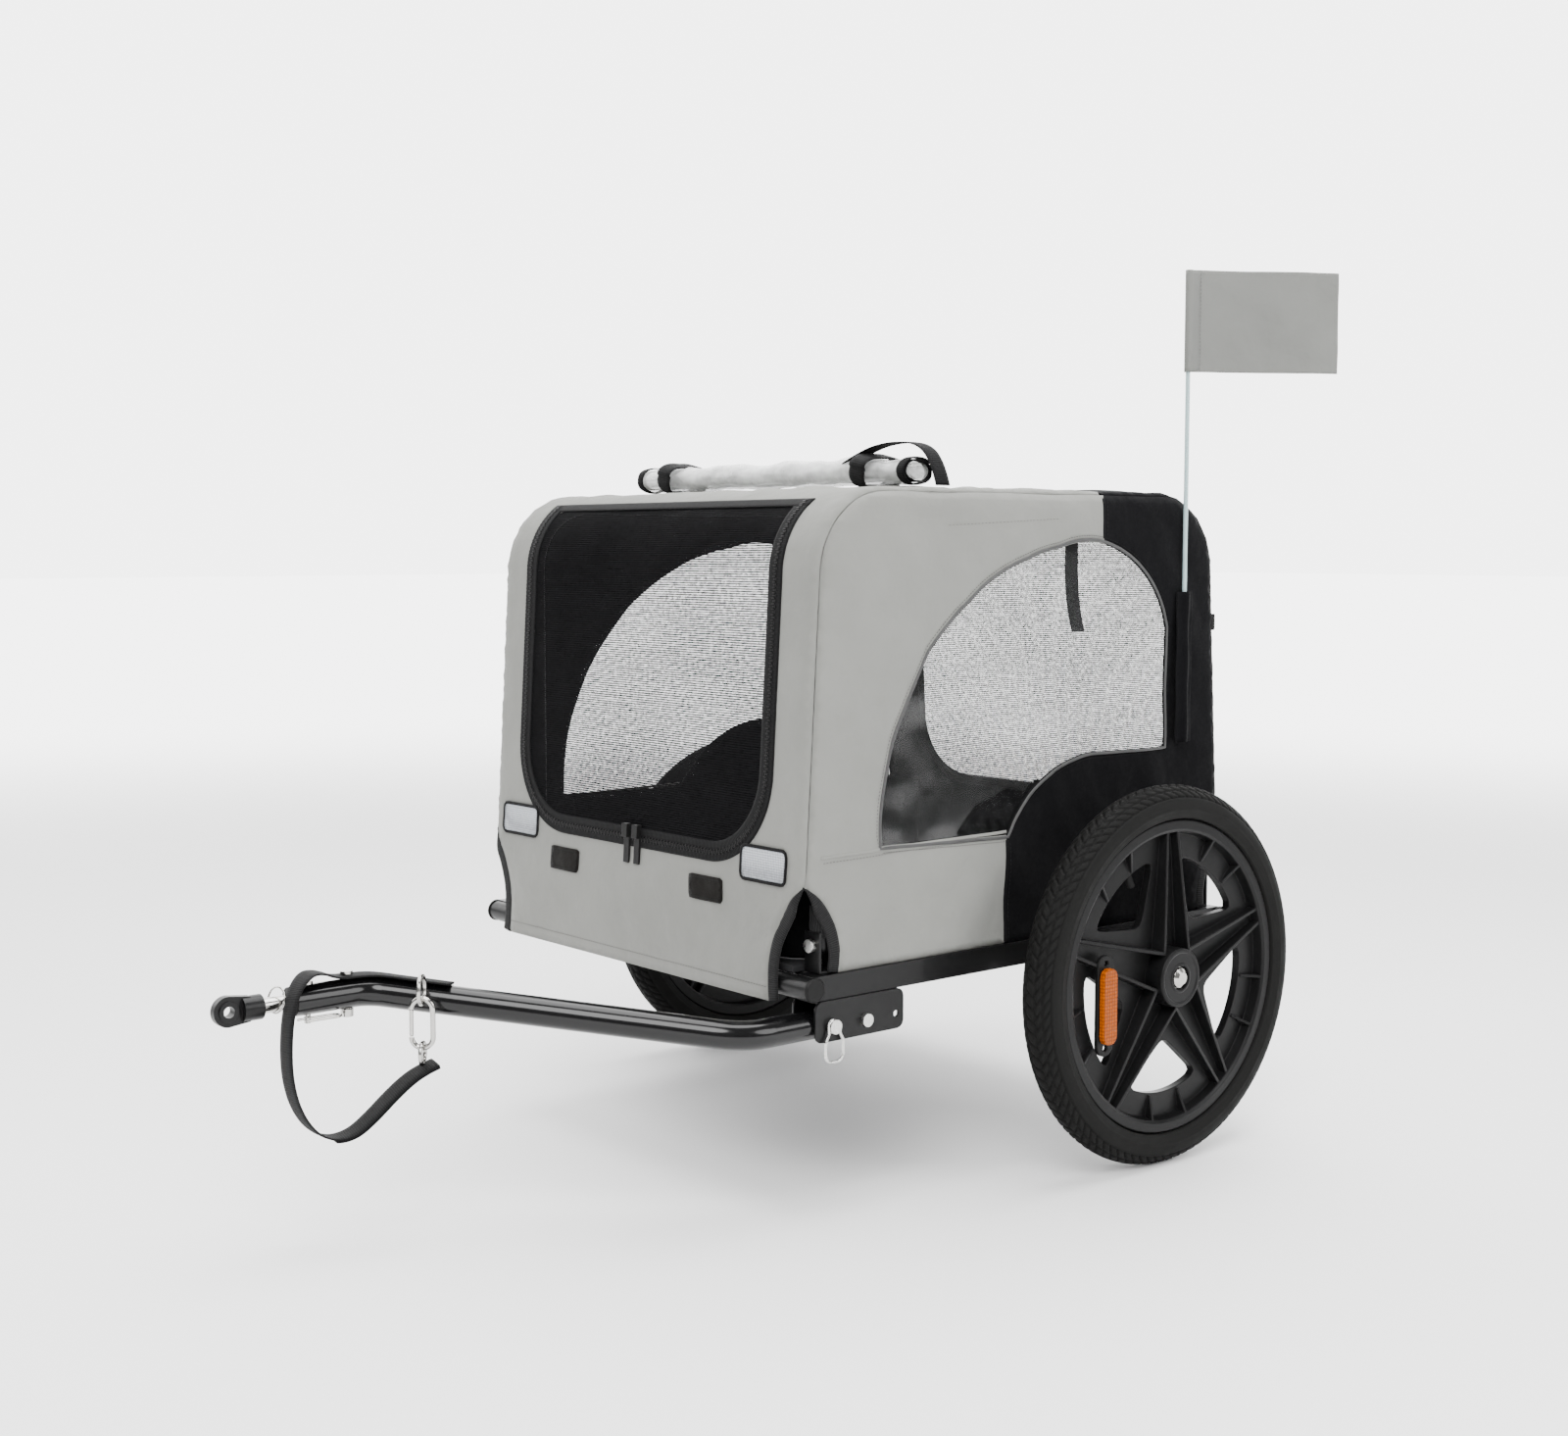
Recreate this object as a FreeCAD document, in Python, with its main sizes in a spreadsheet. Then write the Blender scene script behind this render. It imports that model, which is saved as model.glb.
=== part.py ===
import FreeCAD, Part
import math
import os
import re
import Sketcher

# Dog bike trailer: two wheels, a tube chassis, folding hoops under a fabric cabin,
# a bent tow arm on the left side and a flag. Millimetres, +Z up, forward is -Y, +X is the
# trailer's left. Heights are above the ground. Setbacks run rearward from the cabin's front
# plane and reaches run forward from it.

SIZES = {
    # cabin and its fabric
    "cabin_width": 554,
    "cabin_length": 586,
    "cabin_top": 706,
    "cabin_corner_radius": 88,
    "fabric_thickness": 2.4,
    "hem_height": 213,
    "hem_bulge": 24,
    "seat_gap": 0.3,
    "cut_overrun": 20,
    "cutout_width": 41,
    "cutout_top": 326,
    "door_width": 428,
    "door_bottom": 345,
    "door_top": 690,
    "door_corner_radius": 85,
    "door_upper_radius": 26,
    "zip_gap": 0.6,
    "window_lap": 8,
    "window_thickness": 1.2,
    # marks and tabs on the front
    "patch_width": 70,
    "patch_height": 34,
    "patch_thickness": 1,
    "patch_spacing": 430,
    "patch_level": 342,
    "tab_width": 55,
    "tab_height": 25,
    "tab_thickness": 1.6,
    "tab_spacing": 250,
    "tab_level": 308,
    # zip pulls
    "pull_width": 9,
    "pull_length": 27,
    "pull_thickness": 2.4,
    "pull_spacing": 18,
    "pull_top": 352,
    "slider_length": 14,
    "slider_depth": 6,
    # chassis tubes
    "rail_size": 24,
    "rail_wall": 1.6,
    "rail_spacing": 536,
    "rail_level": 229,
    "crossbar_diameter": 22,
    "crossbar_wall": 1.5,
    "crossbar_length": 560,
    "crossbar_reach": 9,
    "weld_gap": 0.2,
    "cap_diameter": 24,
    "cap_flange": 4,
    "cap_plug": 14,
    "cap_fit": 0.2,
    # floor
    "floor_width": 492,
    "floor_thickness": 6,
    "floor_reach": 6,
    "mat_margin": 37,
    "mat_setback": 36,
    "mat_thickness": 10,
    "mat_crown": 3,
    # hoops and their hinges
    "hoop_diameter": 19,
    "hoop_wall": 1.4,
    "hoop_spacing": 526,
    "hoop_bend_radius": 72,
    "hoop_setback": 16,
    "hoop_nesting": 21,
    "hoop_foot": 21,
    "hinge_height": 268,
    "hinge_bolt": 8,
    "hinge_fit": 0.2,
    "bracket_width": 22,
    "bracket_plate": 2.5,
    "bracket_crown": 13,
    "bracket_play": 0.4,
    "bolt_head": 13,
    "bolt_head_length": 5,
    # axle and wheels
    "axle_setback": 410,
    "wheel_diameter": 400,
    "wheel_track": 704,
    "tyre_width": 43,
    "tyre_wall": 4,
    "bead_diameter": 332,
    "bead_gap": 0.3,
    "tube_gap": 0.5,
    "rim_width": 32,
    "rim_depth": 15,
    "web_width": 24,
    "hub_diameter": 62,
    "hub_inner_length": 16,
    "hub_outer_length": 27,
    "hub_recess": 6,
    "hub_recess_diameter": 25,
    "spoke_width": 38,
    "spoke_count": 5,
    "window_margin": 26,
    "window_apex": 66,
    "window_corner": 14,
    "channel_width": 16,
    "channel_depth": 8,
    "channel_margin": 12,
    "channel_corner": 2.6,
    "bearing_diameter": 24,
    "bearing_length": 8,
    "bearing_fit": 0.1,
    "axle_diameter": 12,
    "axle_fit": 0.15,
    "axle_head": 20,
    "axle_head_length": 4,
    "nut_diameter": 21,
    "nut_length": 8,
    "receiver_length": 44,
    "receiver_drop": 14,
    "valve_diameter": 8,
    "valve_length": 56,
    "valve_hole": 8.6,
    "valve_angle": 117,
    "lens_length": 78,
    "lens_width": 20,
    "lens_depth": 7,
    "carrier_length": 104,
    "carrier_width": 24,
    "carrier_depth": 5,
    "carrier_radius": 106,
    "carrier_drop": 16,
    # tow bracket
    "tow_plate": 3,
    "tow_play": 0.5,
    "tow_reach": 8,
    "tow_length": 114,
    "tow_bottom": 177,
    "tow_pivot_setback": 55,
    "tow_pivot_level": 192,
    "tow_bolt": 8,
    "tow_hole_fit": 0.2,
    "tow_spare_hole_setback": 96,
    "lock_setback": 13,
    "lock_pin_diameter": 8,
    "lock_pin_fit": 0.35,
    "lock_pin_tail": 5,
    "lock_head_diameter": 14,
    "lock_head_length": 6,
    "lock_wire": 3,
    "lock_wire_width": 22,
    "lock_wire_drop": 34,
    # tow arm
    "arm_diameter": 28,
    "arm_wall": 2,
    "arm_offset": 264.5,
    "arm_stub": 14,
    "slot_relief": 5,
    "arm_bend_reach": 80,
    "arm_bend_radius": 70,
    "arm_kink_offset": 28,
    "arm_kink_reach": 342,
    "arm_kink_radius": 40,
    "arm_front_level": 234,
    "arm_nose": 77,
    # hitch
    "shank_diameter": 14,
    "shank_depth": 35,
    "shank_seat": 14,
    "shank_fit": 0.2,
    "bush_flange": 3,
    "bush_flange_diameter": 27,
    "bush_fit": 0.2,
    "barrel_diameter": 23,
    "neck_length": 31,
    "barrel_length": 19,
    "eye_lead": 13,
    "eye_radius": 14,
    "eye_hole": 10.5,
    "eye_thickness": 8,
    "eye_ring_radius": 9.5,
    "eye_ring_height": 1.5,
    "hitch_pin_inset": 15,
    "hitch_pin_diameter": 6,
    "hitch_pin_fit": 0.2,
    "hitch_pin_head": 11,
    "hitch_pin_head_length": 3,
    "hitch_pin_tail": 8,
    "clip_wire": 2.4,
    "clip_hole": 2.8,
    "clip_lead": 10,
    "clip_length": 30,
    "clip_width": 11,
    # safety strap
    "strap_width": 24,
    "strap_thickness": 2.2,
    "strap_bolt_lead": 22,
    "strap_bolt_diameter": 6,
    "strap_bolt_fit": 0.2,
    "strap_bolt_head": 12,
    "strap_bolt_head_length": 3,
    "strap_nut_length": 7,
    "ring_setback": 42,
    "ring_radius": 13,
    "ring_wire": 4,
    "ring_offset": 26.5,
    "ring_rise": 13,
    "hook_wire": 5,
    "hook_height": 46,
    "hook_width": 20,
    "gate_wire": 4,
    "gate_gap": 0.4,
    "end_ring_radius": 10,
    # rain cover rolled on the roof
    "roll_length": 460,
    "roll_setback": 173,
    "roll_core": 6,
    "roll_pitch": 4.6,
    "roll_film": 1.4,
    "roll_half_turns": 7,
    "roll_strap_width": 25,
    "roll_strap_thickness": 2,
    "roll_strap_spacing": 330,
    # flag
    "pole_diameter": 5,
    "pole_inset": 63,
    "pole_bottom": 436,
    "pole_top": 945,
    "sleeve_bottom": 433,
    "sleeve_height": 165,
    "sleeve_width": 25,
    "sleeve_depth": 11,
    "sleeve_fit": 0.4,
    "flag_length": 172,
    "flag_height": 109,
    "flag_thickness": 1.2,
    "flag_hem": 2,
    "flag_angle": 30,
    # leash inside the cabin
    "leash_setback": 352,
    "leash_top": 668,
    "leash_width": 20,
    "leash_thickness": 2,
    "leash_length": 110,
}

PLACES = {
    "side_x": "=cabin_width / 2",
    "mat_width": "=cabin_width - 2 * mat_margin",
    "rail_x": "=rail_spacing / 2",
    "rail_top": "=rail_level + rail_size / 2",
    "rail_bottom": "=rail_level - rail_size / 2",
    "rear_bar": "=cabin_length + crossbar_reach",
    "floor_base": "=rail_level + crossbar_diameter / 2 + seat_gap",
    "floor_top": "=floor_base + floor_thickness",
    "cover_base": "=rail_top + seat_gap",
    "hoop_x": "=hoop_spacing / 2",
    "hoop_top": "=cabin_top - fabric_thickness - seat_gap - hoop_diameter / 2",
    "axle_z": "=wheel_diameter / 2",
    "wheel_x": "=wheel_track / 2",
    "tyre_ring": "=(wheel_diameter - tyre_width) / 2",
    "rim_radius": "=bead_diameter / 2 - bead_gap",
    "rim_inner": "=rim_radius - rim_depth",
    "bearing_seat": "=hub_outer_length - hub_recess",
    "tow_outer": "=arm_offset + arm_diameter / 2 + tow_play",
    "tow_inner": "=arm_offset - arm_diameter / 2 - tow_play",
    "tow_roof": "=rail_bottom - weld_gap",
    "lock_end": "=tow_outer + tow_plate + seat_gap",
    "sleeve_x": "=side_x + seat_gap",
    "pole_x": "=sleeve_x + sleeve_depth / 2",
    "roll_radius": "=roll_core + roll_pitch * roll_half_turns / 2 + roll_film / 2",
    "roll_ring": "=roll_radius + seat_gap",
    "roll_level": "=cabin_top + seat_gap + roll_ring + roll_strap_thickness",
    "arm_end_reach": "=arm_kink_reach + arm_nose",
    "shank_root_reach": "=arm_end_reach - shank_depth",
    "hitch_pin_reach": "=arm_end_reach - hitch_pin_inset",
    "barrel_reach": "=arm_end_reach + neck_length",
    "shank_reach": "=barrel_reach + shank_seat",
    "barrel_end_reach": "=barrel_reach + barrel_length",
    "eye_reach": "=barrel_end_reach + eye_lead",
    "strap_bolt_reach": "=arm_kink_reach + strap_bolt_lead",
    "ring_reach": "=arm_kink_reach - ring_setback",
    "pole_setback": "=cabin_length - pole_inset",
    "nose_reach": "=eye_reach + eye_radius",
    "flag_tip": "=pole_setback + flag_length * cos(flag_angle) + flag_thickness / 2 * sin(flag_angle)",
    "front_y": "=(nose_reach - flag_tip) / 2",
}

# Outline of the clear side window, as shares of the cabin's length and of its side's height
WINDOW_START_SHARE = (0.137, 0.247)
WINDOW_FRONT_SHARES = [(0.208, 0.583), (0.563, 0.871)]
WINDOW_REAR_SHARES = [(0.783, 0.819), (0.853, 0.684)]
WINDOW_SILL_SHARES = [(0.855, 0.402), (0.667, 0.404)]
WINDOW_ARCH_SHARES = [(0.512, 0.346), (0.435, 0.239)]
# Middle of a corner cut-out's arc, as shares of its width and height
CUTOUT_SHARE = (0.73, 0.69)

# Share of an end cap's flange that is bevelled, of an axle nut's height below its dome, of the
# nut's diameter at the dome's top, and of the spring clip's width in each bend's radius
CAP_BEVEL_SHARE = 0.4
NUT_FLAT_SHARE = 0.6
NUT_TOP_SHARE = 0.6
CLIP_BEND_SHARE = 0.45
# Least cosine of the angle between two directions that count as parallel
PARALLEL = 0.999

# Route of the safety strap over the arm's front and down in a hanging loop, from its bolt on the
# arm's axis: offset, lead, rise
STRAP_ROUTE = [
    (53, -81, 6.4), (28, -53.5, 10.9), (5, -29, 15.2), (0, -12, 16), (0, 12, 16.4),
    (2, 28, 24), (10, 46, 25.5), (19, 62, 14), (23, 70.5, -8), (25, 74, -36),
    (27, 74, -64), (29, 68, -91), (32, 55, -113), (35, 37, -123.5), (39, 18, -121),
    (44, 2, -108), (50, -15, -90), (55, -31, -75.5), (58.5, -46, -67), (61, -58, -63),
]

# Each hoop's name, side and how far its posts stand inside the other hoop's
HOOPS = [("left", 1, "0"), ("right", -1, "hoop_nesting")]

X_AXIS = FreeCAD.Vector(1, 0, 0)
Y_AXIS = FreeCAD.Vector(0, 1, 0)
Z_AXIS = FreeCAD.Vector(0, 0, 1)
ORIGIN = FreeCAD.Vector(0, 0, 0)
ALONG = {
    "x": FreeCAD.Rotation(Y_AXIS, 90),
    "y": FreeCAD.Rotation(X_AXIS, -90),
    "z": FreeCAD.Rotation(),
}

doc = FreeCAD.newDocument("dog_bike_trailer")
sheet = doc.addObject("Spreadsheet::Sheet", "Sizes")
for row, (alias, content) in enumerate({**SIZES, **PLACES}.items(), start=1):
    sheet.set(f"A{row}", alias)
    sheet.set(f"B{row}", str(content))
    sheet.setAlias(f"B{row}", alias)
doc.recompute()

ALIASES = set(SIZES) | set(PLACES)
nodes = []


def linked(formula):
    """The formula with each size named as a cell of the sheet."""
    def cell(match):
        word = match.group()
        return f"Sizes.{word}" if word in ALIASES else word
    return re.sub(r"[a-z_][a-z0-9_]*", cell, formula)


def value(formula):
    return float(sheet.evalExpression(linked(formula)))


def bind(obj, prop, formula):
    obj.setExpression(prop, linked(formula))


def vector(x, y, z):
    return FreeCAD.Vector(value(x), value(y), value(z))


def bind_base(obj, x, y, z):
    for axis, formula in zip("xyz", (x, y, z)):
        bind(obj, f"Placement.Base.{axis}", formula)


# Primitives, booleans and nodes

def box(x, y, z, length, width, height):
    obj = doc.addObject("Part::Box", "Box")
    bind(obj, "Length", length)
    bind(obj, "Width", width)
    bind(obj, "Height", height)
    bind_base(obj, x, y, z)
    return obj


def cylinder(axis, x, y, z, radius, length):
    obj = doc.addObject("Part::Cylinder", "Cylinder")
    bind(obj, "Radius", radius)
    bind(obj, "Height", length)
    obj.Placement = FreeCAD.Placement(ORIGIN, ALONG[axis])
    bind_base(obj, x, y, z)
    return obj


def torus(axis, x, y, z, radius, section):
    obj = doc.addObject("Part::Torus", "Torus")
    bind(obj, "Radius1", radius)
    bind(obj, "Radius2", section)
    obj.Placement = FreeCAD.Placement(ORIGIN, ALONG[axis])
    bind_base(obj, x, y, z)
    return obj


def feature(shape):
    obj = doc.addObject("Part::Feature", "Form")
    obj.Shape = shape
    return obj


def fuse(*pieces):
    obj = doc.addObject("Part::MultiFuse", "Fuse")
    obj.Shapes = list(pieces)
    return obj


def cut(base, *tools):
    obj = doc.addObject("Part::Cut", "Cut")
    obj.Base = base
    obj.Tool = tools[0] if len(tools) == 1 else fuse(*tools)
    return obj


def common(base, tool):
    obj = doc.addObject("Part::Common", "Common")
    obj.Base = base
    obj.Tool = tool
    return obj


def group(*pieces):
    obj = doc.addObject("Part::Compound", "Group")
    obj.Links = list(pieces)
    return obj


def node(obj, label):
    """Names a finished piece and sets it back to the trailer's own origin."""
    obj.Label = label
    bind(obj, "Placement.Base.y", "front_y")
    nodes.append(obj)
    return obj


def mirror(obj, label=None):
    """The same piece on the other side of the trailer's middle plane."""
    twin = doc.addObject("Part::Mirroring", "Mirror")
    twin.Source = obj
    twin.Normal = X_AXIS
    if label:
        twin.Label = label
        nodes.append(twin)
    return twin


def both(obj, label):
    """One node that holds the piece on each side."""
    return node(group(obj, mirror(obj)), label)


def both_sides(obj, name):
    """A left node and its mirrored right node."""
    node(obj, f"{name}_left")
    mirror(obj, f"{name}_right")


def end_to_end(obj):
    """The same piece mirrored from the cabin's front half to its rear half."""
    twin = doc.addObject("Part::Mirroring", "Mirror")
    twin.Source = obj
    twin.Normal = Y_AXIS
    twin.Base = vector("0", "cabin_length / 2", "0")
    return twin


# Sketched bodies

def polygon(body, role, points):
    """A closed sketch whose corners are bound to the sheet."""
    sketch = body.newObject("Sketcher::SketchObject", "Sketch")
    plane = next(f for f in body.Origin.OriginFeatures if f.Role == role)
    sketch.AttachmentSupport = [(plane, "")]
    sketch.MapMode = "FlatFace"
    corners = [vector(x, y, "0") for x, y in points]
    count = len(points)
    for index, corner in enumerate(corners):
        sketch.addGeometry(Part.LineSegment(corner, corners[(index + 1) % count]))
    for index in range(count):
        sketch.addConstraint(Sketcher.Constraint("Coincident", index, 2, (index + 1) % count, 1))
    for index, point in enumerate(points):
        for kind, axis, formula in (("DistanceX", -2, point[0]), ("DistanceY", -1, point[1])):
            if formula == "0":
                sketch.addConstraint(Sketcher.Constraint("PointOnObject", index, 1, axis))
                continue
            rule = sketch.addConstraint(
                Sketcher.Constraint(kind, -1, 1, index, 1, value(formula)))
            bind(sketch, f"Constraints[{rule}]", formula)
    return sketch


def padded_body(role, points, length):
    body = doc.addObject("PartDesign::Body", "Body")
    pad = body.newObject("PartDesign::Pad", "Pad")
    pad.Profile = polygon(body, role, points)
    bind(pad, "Length", length)
    body.Tip = pad
    return body


def turned_body(points):
    """A body of revolution about its own Z axis, from radius and height pairs."""
    body = doc.addObject("PartDesign::Body", "Body")
    turn = body.newObject("PartDesign::Revolution", "Revolution")
    sketch = polygon(body, "XZ_Plane", points)
    turn.Profile = sketch
    turn.ReferenceAxis = (sketch, ["V_Axis"])
    body.Tip = turn
    return body


# Outlines, tubes and bands

def face_of(edges):
    return Part.Face(Part.Wire(Part.__sortEdges__([edge.toShape() for edge in edges])))


def line(start, end):
    return Part.LineSegment(start, end)


def arc(start, middle, end):
    return Part.Arc(start, middle, end)


def rounded_path(points, radii):
    """Straight runs joined by tangent arcs."""
    edges = []
    start = points[0]
    for before, corner, after, radius in zip(points, points[1:], points[2:], radii):
        into = (corner - before).normalize()
        out = (after - corner).normalize()
        half = into.getAngle(out) / 2
        first = corner - into * (radius * math.tan(half))
        last = corner + out * (radius * math.tan(half))
        middle = corner + (out - into).normalize() * (radius / math.cos(half) - radius)
        edges += [line(start, first), arc(first, middle, last)]
        start = last
    edges.append(line(start, points[-1]))
    return Part.Wire([edge.toShape() for edge in edges])


def swept(path, radius):
    """A round bar along a path of lines and arcs."""
    start = path.Edges[0].Curve.value(path.Edges[0].FirstParameter)
    ahead = path.Edges[0].tangentAt(path.Edges[0].FirstParameter)
    section = Part.Wire([Part.Circle(start, ahead, radius).toShape()])
    pipe = Part.BRepOffsetAPI.MakePipeShell(path)
    pipe.add(section)
    pipe.build()
    pipe.makeSolid()
    return pipe.shape()


def tube(points, radii, radius, wall):
    path = rounded_path(points, radii)
    return swept(path, radius).cut(swept(path, radius - wall))


def band(points, width, thickness):
    """Flat webbing along a route, its width kept level across the trailer."""
    sections = []
    for index, point in enumerate(points):
        ahead = points[min(index + 1, len(points) - 1)] - points[max(index - 1, 0)]
        ahead.normalize()
        side = (X_AXIS - ahead * X_AXIS.dot(ahead)).normalize() * (width / 2)
        up = ahead.cross(side).normalize() * (thickness / 2)
        corners = [point + side + up, point - side + up, point - side - up, point + side - up]
        sections.append(Part.makePolygon(corners + corners[:1]))
    return Part.makeLoft(sections, True, True)


def rounded_prism(face, sweep, radius, chosen=None):
    """An extruded outline with its corner edges rounded."""
    solid = face.extrude(sweep)
    along = FreeCAD.Vector(sweep).normalize()
    lengthwise = [edge for edge in solid.Edges
                  if len(edge.Vertexes) == 2
                  and abs(edge.tangentAt(edge.FirstParameter).dot(along)) > PARALLEL]
    if chosen:
        lengthwise = [edge for edge in lengthwise if chosen(edge.CenterOfMass)]
    return solid.makeFillet(radius, lengthwise)


# Chassis

def make_rails():
    half = "rail_size / 2"
    span = "cabin_length + 2 * crossbar_reach"
    outer = box(f"rail_x - {half}", "-crossbar_reach", f"rail_level - {half}",
                "rail_size", span, "rail_size")
    bore = box(f"rail_x - {half} + rail_wall", "-crossbar_reach - cut_overrun",
               f"rail_level - {half} + rail_wall",
               "rail_size - 2 * rail_wall", f"{span} + 2 * cut_overrun", "rail_size - 2 * rail_wall")
    copes = [cylinder("x", f"rail_x - {half} - cut_overrun", y, "rail_level",
                      "crossbar_diameter / 2 + weld_gap", "rail_size + 2 * cut_overrun")
             for y in ("-crossbar_reach", "rear_bar")]
    both(cut(outer, bore, *copes), "side_rails")


def make_crossbars():
    """Round tubes across the ends, and one between the rails over the axle."""
    inner = "(rail_x - rail_size / 2 - weld_gap)"
    bars = []
    for y, half in (("-crossbar_reach", "crossbar_length / 2"), ("axle_setback", inner),
                    ("rear_bar", "crossbar_length / 2")):
        outer = cylinder("x", f"-{half}", y, "rail_level", "crossbar_diameter / 2", f"2 * {half}")
        bore = cylinder("x", f"-{half} - cut_overrun", y, "rail_level",
                        "crossbar_diameter / 2 - crossbar_wall", f"2 * {half} + 2 * cut_overrun")
        bars.append(cut(outer, bore))
    node(group(*bars), "crossbars")


def make_end_caps():
    plug = "crossbar_diameter / 2 - crossbar_wall - cap_fit"
    end = "crossbar_length / 2 + weld_gap"
    bevel = f"cap_flange * {CAP_BEVEL_SHARE}"
    caps = []
    for y in ("-crossbar_reach", "rear_bar"):
        cap = turned_body([("0", "-cap_plug"), (plug, "-cap_plug"), (plug, "0"),
                           ("cap_diameter / 2", "0"), ("cap_diameter / 2", f"cap_flange - {bevel}"),
                           (f"cap_diameter / 2 - {bevel}", "cap_flange"), ("0", "cap_flange")])
        cap.Placement = FreeCAD.Placement(ORIGIN, ALONG["x"])
        bind_base(cap, end, y, "rail_level")
        caps += [cap, mirror(cap)]
    node(group(*caps), "crossbar_end_caps")


def make_floor():
    length = "cabin_length + 2 * floor_reach"
    board = padded_body("XY_Plane", [
        ("-floor_width / 2", "-floor_reach"), ("floor_width / 2", "-floor_reach"),
        ("floor_width / 2", f"{length} - floor_reach"), ("-floor_width / 2", f"{length} - floor_reach"),
    ], "floor_thickness")
    bind(board, "Placement.Base.z", "floor_base")
    node(board, "floor_board")


def make_mat():
    """A crowned mat, drawn in a little between its corners."""
    half = value("mat_width / 2")
    front = value("mat_setback")
    rear = value("cabin_length - mat_setback")
    middle = (front + rear) / 2
    draw = value("mat_crown")
    base = value("floor_top + seat_gap")
    top = value("floor_top + seat_gap + mat_thickness")

    def outline(inset, level):
        low = [FreeCAD.Vector(x, y, level) for x, y in (
            (-half + inset, front + inset), (half - inset, front + inset),
            (half - inset, rear - inset), (-half + inset, rear - inset))]
        pulled = [FreeCAD.Vector(x, y, level) for x, y in (
            (0, front + inset + draw), (half - inset - draw, middle),
            (0, rear - inset - draw), (-half + inset + draw, middle))]
        return Part.Wire([arc(low[i], pulled[i], low[(i + 1) % 4]).toShape() for i in range(4)])

    levels = [(draw, base), (0, base + (top - base) / 3), (draw, top - draw), (3 * draw, top)]
    node(feature(Part.makeLoft([outline(*level) for level in levels], True, True)), "floor_mat")


# Hoops

def post_setbacks(inset):
    return f"hoop_setback + {inset}", f"cabin_length - hoop_setback - {inset}"


def make_hoop(name, side, inset):
    """An inverted U of tube, with a bolt hole near each foot."""
    front, rear = (value(y) for y in post_setbacks(inset))
    x = side * value("hoop_x")
    foot = value("hinge_height - hoop_foot")
    top = value("hoop_top")
    points = [FreeCAD.Vector(x, y, z) for y, z in ((front, foot), (front, top), (rear, top), (rear, foot))]
    bend = value("hoop_bend_radius")
    hoop = tube(points, [bend, bend], value("hoop_diameter / 2"), value("hoop_wall"))
    hole = cylinder("y", f"{side} * hoop_x", "-cut_overrun", "hinge_height",
                    "hinge_bolt / 2 + hinge_fit", "cabin_length + 2 * cut_overrun")
    node(cut(feature(hoop), hole), f"hoop_{name}")


def make_hoop_hinges():
    """U brackets on the rails, with a bolt along each hinge line."""
    brackets = []
    bolts = []
    grip = "hoop_diameter / 2 + bracket_play"
    outside = f"({grip} + bracket_plate)"
    height = "hinge_height + bracket_crown - cover_base"
    posts = [(side, post) for _, side, inset in HOOPS for post in post_setbacks(inset)]
    for side, post in posts:
        x = f"{side} * hoop_x"
        left_edge = f"{x} - bracket_width / 2"
        base = box(left_edge, f"{post} - {outside}", "cover_base",
                   "bracket_width", f"2 * {outside}", "bracket_plate")
        cheeks = [box(left_edge, y, "cover_base", "bracket_width", "bracket_plate", height)
                  for y in (f"{post} - {outside}", f"{post} + {grip}")]
        hole = cylinder("y", x, f"{post} - {outside} - cut_overrun", "hinge_height",
                        "hinge_bolt / 2 + hinge_fit", f"2 * {outside} + 2 * cut_overrun")
        brackets.append(cut(fuse(base, *cheeks), hole))
        shank = cylinder("y", x, f"{post} - {outside} - weld_gap", "hinge_height",
                         "hinge_bolt / 2", f"2 * {outside} + 2 * weld_gap")
        heads = [cylinder("y", x, y, "hinge_height", "bolt_head / 2", "bolt_head_length")
                 for y in (f"{post} - {outside} - weld_gap - bolt_head_length",
                           f"{post} + {outside} + weld_gap")]
        bolts.append(fuse(shank, *heads))
    node(group(*brackets), "hoop_brackets")
    node(group(*bolts), "hoop_hinge_bolts")


# Axles and wheels

def make_axles():
    block = box("rail_x - rail_size / 2", "axle_setback - receiver_length / 2", "axle_z - receiver_drop",
                "rail_size", "receiver_length", "rail_bottom - weld_gap - axle_z + receiver_drop")
    inner = "rail_x - rail_size / 2"
    bore = cylinder("x", f"{inner} - cut_overrun", "axle_setback", "axle_z",
                    "axle_diameter / 2 + axle_fit", "rail_size + 2 * cut_overrun")
    both(cut(block, bore), "axle_receivers")
    head = cylinder("x", f"{inner} - weld_gap - axle_head_length", "axle_setback", "axle_z",
                    "axle_head / 2", "axle_head_length")
    shaft = cylinder("x", f"{inner} - weld_gap", "axle_setback", "axle_z", "axle_diameter / 2",
                     f"wheel_x + bearing_seat - {inner} + weld_gap")
    collar = cylinder("x", "rail_x + rail_size / 2 + weld_gap", "axle_setback", "axle_z", "axle_head / 2",
                      "wheel_x - hub_inner_length - bead_gap - rail_x - rail_size / 2 - weld_gap")
    both(fuse(head, shaft, collar), "axles")
    nut = turned_body([("0", "0"), ("nut_diameter / 2", "0"),
                       ("nut_diameter / 2", f"nut_length * {NUT_FLAT_SHARE}"),
                       (f"nut_diameter / 2 * {NUT_TOP_SHARE}", "nut_length"), ("0", "nut_length")])
    nut.Placement = FreeCAD.Placement(ORIGIN, ALONG["x"])
    bind_base(nut, "wheel_x + bearing_seat + bead_gap", "axle_setback", "axle_z")
    both(nut, "axle_nuts")


def wheel_place(obj):
    obj.Placement = FreeCAD.Placement(ORIGIN, ALONG["x"])
    bind_base(obj, "wheel_x", "axle_setback", "axle_z")
    return obj


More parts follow.
